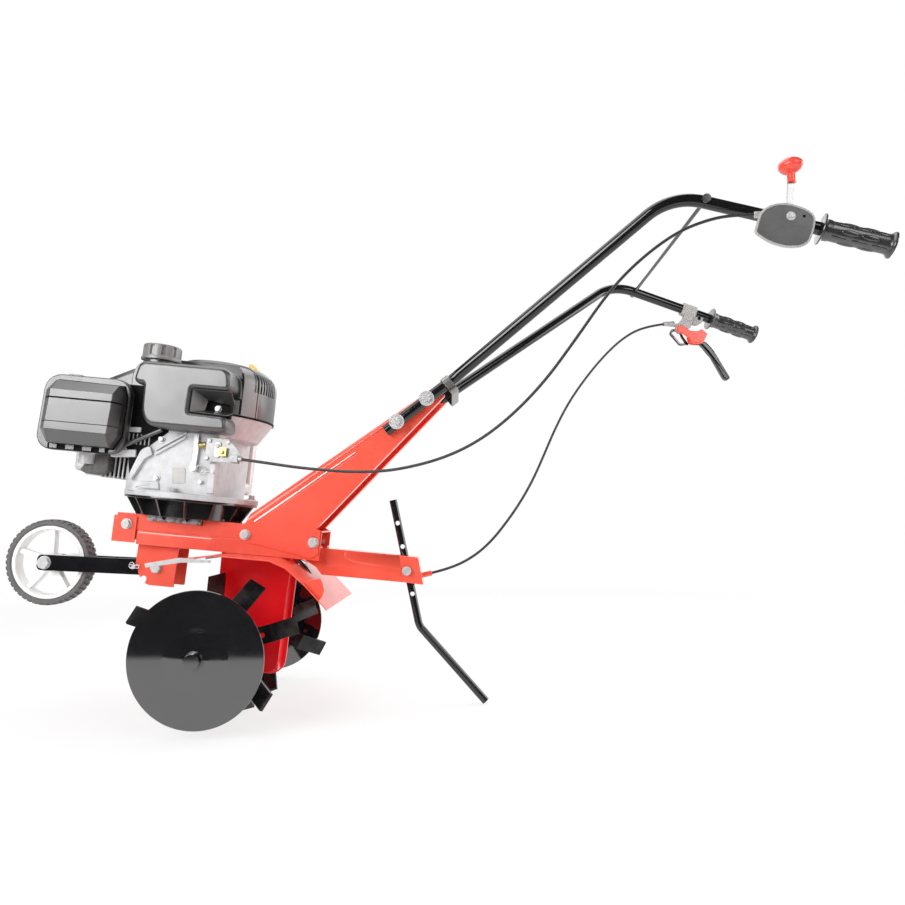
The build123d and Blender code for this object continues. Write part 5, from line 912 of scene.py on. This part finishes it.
class TILLER_OT_engine(bpy.types.Operator):
    """Engine with its covers, tank and filter"""
    bl_idname = "tiller.engine"
    bl_label = "Engine"

    def execute(self, context):
        for node, paint, slot in (
                ("base_ring", "gloss_moulding", "black_plastic"),
                ("cylinder", "casting", "cast_aluminium"),
                ("starter_cover", "black_moulding", "black_plastic"),
                ("starter_grip", "black_moulding", "black_plastic"),
                ("intake", "casting", "cast_aluminium"),
                ("muffler", "sheet_steel", "steel"),
                ("oil_filler", "zinc_plate", "zinc"),
                ("dipstick", "yellow_moulding", "yellow_plastic"),
                ("control_plate", "dull_zinc", "zinc"),
                ("control_lever", "zinc_plate", "steel")):
            soften(node, paint)
        soften("blower_housing", "black_moulding", flats=False)
        repaint("crankshaft", "turned_steel")
        repaint("flywheel", "casting")
        self.crankcase()
        self.filter_box()
        self.tank()
        self.cap()
        self.cowl_trim()
        self.case_trim()
        self.governor()
        self.barrel_trim()
        self.deck_pad()
        return {"FINISHED"}

    def crankcase(self):
        """Crankcase casting: foot flange, box with rounded corners and the bowl that carries the cowl."""
        flat_y = CASE_FACE_Y + 1
        flange = lathe([(0, 236), (116.2, 236), (117, 236.8), (117, 244.6), (115.6, 246), (0, 246)], 96)
        bowl = lathe([(0, 350), (103, 350), (104.5, 350.8), (128, 388), (0, 388)], 96)
        bm = moved(joined(flange, bowl), CRANK)
        bmesh.ops.bisect_plane(bm, geom=bm.verts[:] + bm.edges[:] + bm.faces[:], plane_co=(0, flat_y, 0),
                               plane_no=LEFT)
        centres = [(f, f.calc_center_median()) for f in bm.faces]
        spare = [f for f, centre in centres if centre.y < flat_y - 0.1 and centre.z > 349]
        bmesh.ops.delete(bm, geom=spare, context="FACES")
        bmesh.ops.holes_fill(bm, edges=[e for e in bm.edges if e.is_boundary])
        plan = oblong(-215, -48, CASE_FACE_Y, -CASE_FACE_Y)
        box = slab(plan, 243, 352, [38, 14, 14, 38], bevel=1.0, segments=2, both=True)
        upright = Matrix(((1, 0, 0, 0), (0, 0, 1, 0), (0, 1, 0, 0), (0, 0, 0, 1)))
        joined(bm, moved(box, upright))
        bmesh.ops.recalc_face_normals(bm, faces=bm.faces)
        place_piece(bm, "case_casting", "chassis", "casting", ("crankcase",))

    def filter_box(self):
        """Air filter cover: rounded rim, faceted dome with two grooves, clips and a latch."""
        rim = slab([(-355, 299), (-204, 300), (-203, 429), (-351, 429)],
                   -122, -108, 27, bevel=2.5, segments=4)
        foot = [(-326, 418), (-214, 416), (-208.5, 398), (-209, 331), (-221, 309), (-327, 309), (-341, 331),
                (-339, 398)]
        latch = slab(oblong(-316, -292, 427, 431), -118, -109, 1.2, bevel=0.8, segments=2)
        clips = [slab(oblong(left, right, 301.5, 310), -125.5, -120, 1.2, bevel=0.7, segments=2)
                 for left, right in ((-327.5, -314.5), (-300.5, -285.5), (-271.5, -255.5), (-242.5, -232.5))]
        cover = joined(rim, self.filter_dome(foot), latch, *clips)
        place_piece(cover, "filter_lid_cover", "filter_lid", "black_moulding",
                    ("filter_cover",), sharp=24.0, second="deep_black")
        # Painted shade: a deep black outline round the dome's foot and a strip behind the clips
        centre_x, centre_z, wider = -274, 363, 1.03
        shadow = [(centre_x + (x - centre_x) * wider, centre_z + (z - centre_z) * wider) for x, z in foot]
        shade_lines = joined(slab(oblong(-332, -228, 300.2, 311), -122.4, -121, 2.0), slab(shadow, -122.5, -121))
        place_piece(shade_lines, "filter_clip_slot", "filter_lid", "deep_black")

    def filter_dome(self, foot):
        """Dome on its foot's outline, with slopes up to a flat front and two grooves across it."""
        dome = bmesh.new()
        brow_y, front_y = -141, -163
        brow = [(-322, 416), (-216, 414.5), (-205.5, 397), (-208, 331), (-220.5, 310), (-325, 310.3),
                (-338.5, 331.5), (-336.7, 397.5)]
        front = [(-317.5, 397.6), (-215.5, 397.6), (-214.6, 396.5), (-217.2, 331), (-218.4, 329.8),
                 (-320.5, 330.4), (-321.5, 331.5), (-318.5, 396.5)]
        loops = []
        for y, points in ((-120, foot), (brow_y, brow), (front_y, front)):
            face = rounded_face(dome, points, y, [0] * len(points))
            loops.append(face.edges[:])
            if y != front_y:
                bmesh.ops.delete(dome, geom=[face], context="FACES_ONLY")
        for lower, upper in zip(loops, loops[1:]):
            bmesh.ops.bridge_loops(dome, edges=lower + upper)
        bmesh.ops.recalc_face_normals(dome, faces=dome.faces)
        sharp = [e for e in dome.edges if e.is_manifold and e.calc_face_angle(0) > radians(18)]
        bmesh.ops.bevel(dome, geom=sharp, offset=0.8, offset_type="OFFSET", affect="EDGES", segments=2,
                        profile=0.5, material=-1, clamp_overlap=True)
        for low, high in ((382.2, 385.0), (343.4, 344.6)):
            for z in (low, high):
                bmesh.ops.bisect_plane(dome, geom=dome.verts[:] + dome.edges[:] + dome.faces[:],
                                       plane_co=(0, 0, z), plane_no=(0, 0, 1))
            centres = [(f, f.calc_center_median()) for f in dome.faces]
            band = [f for f, centre in centres if low < centre.z < high and centre.y < brow_y]
            made = bmesh.ops.inset_region(dome, faces=band, thickness=0.2, depth=-1.2, use_even_offset=True)
            # Painted shade: the grooves' faces take the deep black second finish
            for face in band + made["faces"]:
                face.material_index = 1
        return dome

    def tank(self):
        """Fuel tank with soft edges, a notch for the hand with a bevelled funnel, and the bolt in it."""
        outline = [(-184, 461), (-32, 461), (-25, 421), (-90, 421), (-91, 381), (-29, 379), (-23, 352),
                   (-160, 352), (-171, 374), (-173, 421), (-192, 421)]
        front = slab(outline, -150, -98, [13, 15, 12, 2, 2, 9, 12, 12, 10, 3, 12.5], bevel=8.0, segments=6)
        rear = slab([(-184, 461), (-28, 461), (-24, 430), (-24, 417), (-192, 417), (-192, 430)],
                    -98, -57.6, [13, 14, 4, 1, 1, 6])
        neck = lathe([(24, 460), (27, 460), (27, 474), (26, 475.5), (24, 475.5), (24, 460)])
        place_piece(joined(front, rear, moved(neck, TANK_NECK)), "tank", "chassis",
                    "black_moulding", ("fuel_tank",), sharp=40.0)
        funnel = bmesh.new()
        chains = []
        for y, line in ((-148, [(-24, 421), (-89.5, 420.5), (-90.5, 381.5), (-28, 379.5)]),
                        (-120, [(-24, 401), (-71, 408), (-75, 388), (-26, 387)])):
            verts = [funnel.verts.new((x, y, z)) for x, z in line]
            chains += [funnel.edges.new(pair) for pair in zip(verts, verts[1:])]
        bmesh.ops.bridge_loops(funnel, edges=chains)
        bmesh.ops.recalc_face_normals(funnel, faces=funnel.faces)
        bmesh.ops.solidify(funnel, geom=funnel.faces[:], thickness=1.2)
        place_piece(funnel, "tank_funnel", "chassis", "black_moulding", sharp=20.0)
        # Painted shade: a deep black plate at the back of the hand notch
        back_y = -112
        back = slab(oblong(-78, -34, 380, 424), back_y, -99, 2.0, bevel=1.0)
        place_piece(back, "tank_notch_back", "chassis", "deep_black")
        bolt = moved(hex_head(9, 5, 6.2, 1.2), facing((-54.5, back_y, 394.5), LEFT))
        place_piece(bolt, "tank_bolt", "chassis", "zinc_plate")

    def cap(self):
        """Fuel cap with scalloped grips over a wider skirt."""
        steps, lobes = 80, 10
        skirt = [(24.5, 468.4), (33.2, 468.4), (33.5, 470), (33.2, 472.5), (31.8, 474)]
        crown = [(31.6, 475.5), (31.6, 492), (30.4, 494.6), (26, 495), (20, 494.2), (0, 494.2)]
        bm = lathe(skirt + crown, steps)
        walls = [f for f in bm.faces if 477 < f.calc_center_median().z < 491 and abs(f.normal.z) < 0.2]
        dents = [f for f in walls if step_round(f, steps) % (steps // lobes) < 3]
        bmesh.ops.inset_region(bm, faces=dents, thickness=1.6, depth=-3.2, use_even_offset=True)
        # Painted sheen: the cap's grey stands for the sheen on its black plastic
        place_piece(moved(bm, TANK_NECK), "cap_grip", "cap", "cap_moulding", ("fuel_cap",),
                    sharp=30.0)

    def cowl_trim(self):
        """Cheek beside the tank, louvres, seams and lip of the cowl's rear."""
        cheek = [(128.2, COWL_FOOT_Z), (128.2, 447), (126.8, 457), (123, 465), (116.8, 472), (108, 477.5)]
        # Painted reflection: the cheek takes the lifted grey for the light that it reflects
        place_piece(cowl_sheet(cheek, -43, 17, 10, 1.5), "cowl_cheek", "chassis",
                    "cap_moulding", sharp=50.0)
        shoulder = [(128, 436), (128, 447), (126.6, 457), (122.8, 465), (119, 470)]
        louvres_from, pitch = -31, 3.5
        # Painted shade: a deep black sheet behind the louvre bars
        back = cowl_sheet([(r + 0.25, z) for r, z in shoulder], louvres_from, 30, 14, 0.8)
        place_piece(back, "louvre_back", "chassis", "deep_black")
        ridge = [(r + 1.5, z) for r, z in shoulder]
        bars = [cowl_sheet(ridge, louvres_from + step * pitch, 1.7, 2, 2.0) for step in range(9)]
        place_piece(joined(*bars), "louvre_bars", "chassis", "black_moulding", sharp=20.0)
        seam = [(128.5, COWL_FOOT_Z), (128.5, 447), (127.1, 457), (123.3, 465)]
        gap = [(128.6, COWL_FOOT_Z + 2), (128.6, 447), (127.2, 457), (123.4, 465)]
        lip = lathe([(127, 386.6), (129.2, 386.6), (129.2, 390), (127, 390), (127, 386.6)], 96)
        lines = joined(cowl_sheet(seam, -28, 0.7, 2, 0.6), cowl_sheet(gap, -44, 1.6, 3, 0.6),
                       moved(lip, CRANK))
        place_piece(lines, "cowl_seam", "chassis", "deep_black")

    def case_trim(self):
        """Ribs on the crankcase."""
        ribs = []
        for z in (309, 317):
            slope = [(-159, z), (-156, z - 3), (-106, z + 32), (-108, z + 35)]
            ribs.append(slab(slope, -103, -97.5, 1.0, bevel=0.8, segments=2))
        foot = slab([(-186, 248), (-142, 248), (-145, 262), (-178, 260)], -101, -97.5, 3, bevel=2.0)
        corner = slab([(-63, 250), (-50, 250), (-51, 302), (-62, 302)], -101.5, -80, 2, bevel=1.5)
        place_piece(joined(*ribs, foot, corner), "case_ribs", "chassis", "casting")

    def governor(self):
        """Governor arm with its link and spring, the cable clip, and the screws and bolts round them."""
        arm = slab([(-92.5, 349), (-85, 349), (-82.5, 321), (-83.5, 287), (-93, 287), (-91, 320)],
                   -104.5, -102, [2, 2, 3, 3, 3, 3], bevel=0.5, segments=2, both=True)
        boss = lathe([(0, -4), (6, -4), (6.6, -3), (6.6, 6), (0, 6)], 32)
        eye = hoop(7.0, 1.1)
        link = lathe([(0, 0), (1.1, 0), (1.1, 17), (0, 17)], 12)
        link_pin = lathe([(0, 0), (3, 0), (3, 10), (0, 10)], 16)
        top_pin = lathe([(0, 0), (3.4, 0), (3.4, 6), (0, 6)], 16)
        joined(arm, moved(boss, facing((-88, -102, 291), LEFT)),
               moved(eye, facing((-76, -105.5, 289), RIGHT)),
               moved(link, facing((-70, -105.5, 287), (1, 0, 0))),
               moved(link_pin, facing((-54, -107, 287), RIGHT)),
               moved(top_pin, facing((-88, -103, 343), RIGHT)))
        place_piece(arm, "governor_arm", "chassis", "zinc_plate")
        coils = [moved(hoop(4.2, 0.9, 18, 6), facing((-82 + 2.2 * step, -106, 329 + 0.6 * step), (1, 0, 0.3)))
                 for step in range(6)]
        place_piece(joined(*coils), "governor_spring", "chassis", "yellow_zinc", flats=False)
        plate = slab(oblong(-43, -30, 314, 330), -119, -117, 1.5, bevel=0.5, segments=2, both=True)
        stem = lathe([(0, 0), (2.4, 0), (2.4, 7), (0, 7)], 16)
        joined(plate, moved(stem, facing((-33, -117, 318), RIGHT)),
               moved(hex_head(6.0, 2.6, 4.0, 0.8), facing((-37.5, -119, 321), LEFT)))
        place_piece(plate, "cable_clip", "chassis", "yellow_zinc")
        screws = [moved(hex_head(5.5, 3.0, 3.6, 0.8), facing((x, -112, z), LEFT))
                  for x, z in ((-63.5, 309), (-62, 339), (-14, 309), (-30, 339))]
        place_piece(joined(*screws), "plate_screws", "chassis", "zinc_plate")
        outline = [(-272, 301), (-247, 303), (-246, 273), (-262, 265), (-284, 265), (-296, 270), (-287, 286)]
        guard = slab(outline, -75, -45, [2, 3, 5, 6, 5, 3, 3], bevel=2.0, both=True)
        place_piece(guard, "inlet_guard", "chassis", "dark_casting")
        bolts = [moved(hex_head(10, 6.5, 8, 1.6), CRANK @ Matrix.Translation(spot))
                 for spot in ((108, 0, 246), (0, -108, 246), (0, 108, 246))]
        bolts += [moved(hex_head(8, 5, 6.5, 1.2), facing((x, CASE_FACE_Y, z), LEFT))
                  for x, z in ((-150, 268), (-150, 335), (-74, 268))]
        place_piece(joined(*bolts), "case_bolts", "chassis", "zinc_plate")

    def barrel_trim(self):
        """Deep black sheets beside the barrel and a deep black core between its fins, all painted shade; the
        barrel's stay, the brackets beside it and the dipstick's blade.
        """
        # Painted shade: deep black sheets where the barrel lies in shade, and a core that darkens the gaps
        # between the fins
        low = slab([(-214, 352), (-214, 318), (-205, 312), (-197, 266), (-178, 304), (-168, 323), (-140, 348),
                    (-140, 352)], -99.4, -98.2)
        high = slab([(-232, 425), (-232, 330), (-214, 318), (-214, 352), (-140, 352), (-140, 425)],
                    -97.7, -96.4)
        core = slab(oblong(-266, -216, 265, 347), -53, 53)
        place_piece(joined(low, high, core), "barrel_baffle", "chassis", "deep_black")
        pitch, fin = 7, 1.4
        fins = [slab(oblong(x, x + fin, 322, 340), -102, -99, bevel=0.2, segments=1)
                for x in (-213 + pitch * step for step in range(7))]
        upper = slab([(-222, 350.5), (-186, 352), (-186, 343), (-222, 342)],
                     -103, -97, 1, bevel=0.8, segments=2)
        lower = slab([(-232, 309), (-190, 313), (-189, 300), (-232, 297)],
                     -104, -90, 1.5, bevel=1.2, segments=2)
        arm = slab([(-199, 262), (-191, 262), (-172, 300), (-160, 306), (-166, 322), (-181, 314)],
                   -105, -97.5, [1, 1, 3, 3, 5, 5], bevel=1.2, segments=2)
        place_piece(joined(*fins, upper, lower, arm), "barrel_brackets", "chassis",
                    "casting")
        stay = joined(round_bar((-228, -106, 311), (-203, -106, 321), 4.0),
                      round_bar((-204.5, -106, 320.5), (-148, -106, 351), 4.0))
        place_piece(stay, "barrel_stay", "chassis", "black_moulding", flats=False)
        # Painted shade: a flat, darker steel plate stands for the shade in a recess of the crankcase
        recess = slab([(-125, 288), (-103, 289), (-100, 263), (-122, 261)],
                      -98.7, -97.8, 2, bevel=0.3, segments=1)
        place_piece(recess, "case_recess", "chassis", "sheet_steel")
        blade = slab([(-87, 521), (-80, 526), (-50, 502), (-50, 489), (-64, 489)], 138.5, 145.5,
                     [3, 3, 4, 2, 2], bevel=1.0, segments=2, both=True)
        place_piece(blade, "dipstick_blade", "oil_dipstick", "yellow_moulding")

    def deck_pad(self):
        """Rubber pad on the deck's edge, with two notches."""
        pad = slab([(-175, 204), (-78, 204.5), (-79, 193.5), (-174, 193)],
                   -55.2, -53.5, 1.5, bevel=0.8, segments=2)
        # Painted sheen: the pad's grey and mottle stand for its glossy highlights
        place_piece(pad, "pad_face", "chassis", "pad_rubber")
        # Painted shade: deep black triangles in the pad's notches
        notches = [slab([(x - 7, 204.6), (x + 7, 204.6), (x, 195.5)], -55.6, -54.6) for x in (-145, -104)]
        place_piece(joined(*notches), "pad_notches", "chassis", "deep_black")


STEPS = ("stage", "cables", "frame_parts", "rotor", "wheel", "controls", "engine")


class TILLER_PT_panel(bpy.types.Panel):
    """Sizes, colours and the steps that make the tiller"""
    bl_idname = "TILLER_PT_panel"
    bl_label = "Tiller"
    bl_space_type = "VIEW_3D"
    bl_region_type = "UI"
    bl_category = "Tiller"

    def draw(self, context):
        for group in (context.scene.tiller_sizes, context.scene.tiller_colours):
            for name in group.__annotations__:
                self.layout.prop(group, name)
        for step in STEPS:
            self.layout.operator("tiller." + step)


CLASSES = (TillerColours, TillerSizes, TILLER_OT_stage, TILLER_OT_cables, TILLER_OT_frame_parts,
           TILLER_OT_rotor, TILLER_OT_wheel, TILLER_OT_controls, TILLER_OT_engine, TILLER_PT_panel)


def register():
    for made in CLASSES:
        bpy.utils.register_class(made)
    bpy.types.Scene.tiller_colours = PointerProperty(type=TillerColours)
    bpy.types.Scene.tiller_sizes = PointerProperty(type=TillerSizes)


def unregister():
    del bpy.types.Scene.tiller_sizes
    del bpy.types.Scene.tiller_colours
    for made in reversed(CLASSES):
        bpy.utils.unregister_class(made)


def main():
    register()
    for step in STEPS:
        getattr(bpy.ops.tiller, step)()


if __name__ == "__main__":
    main()
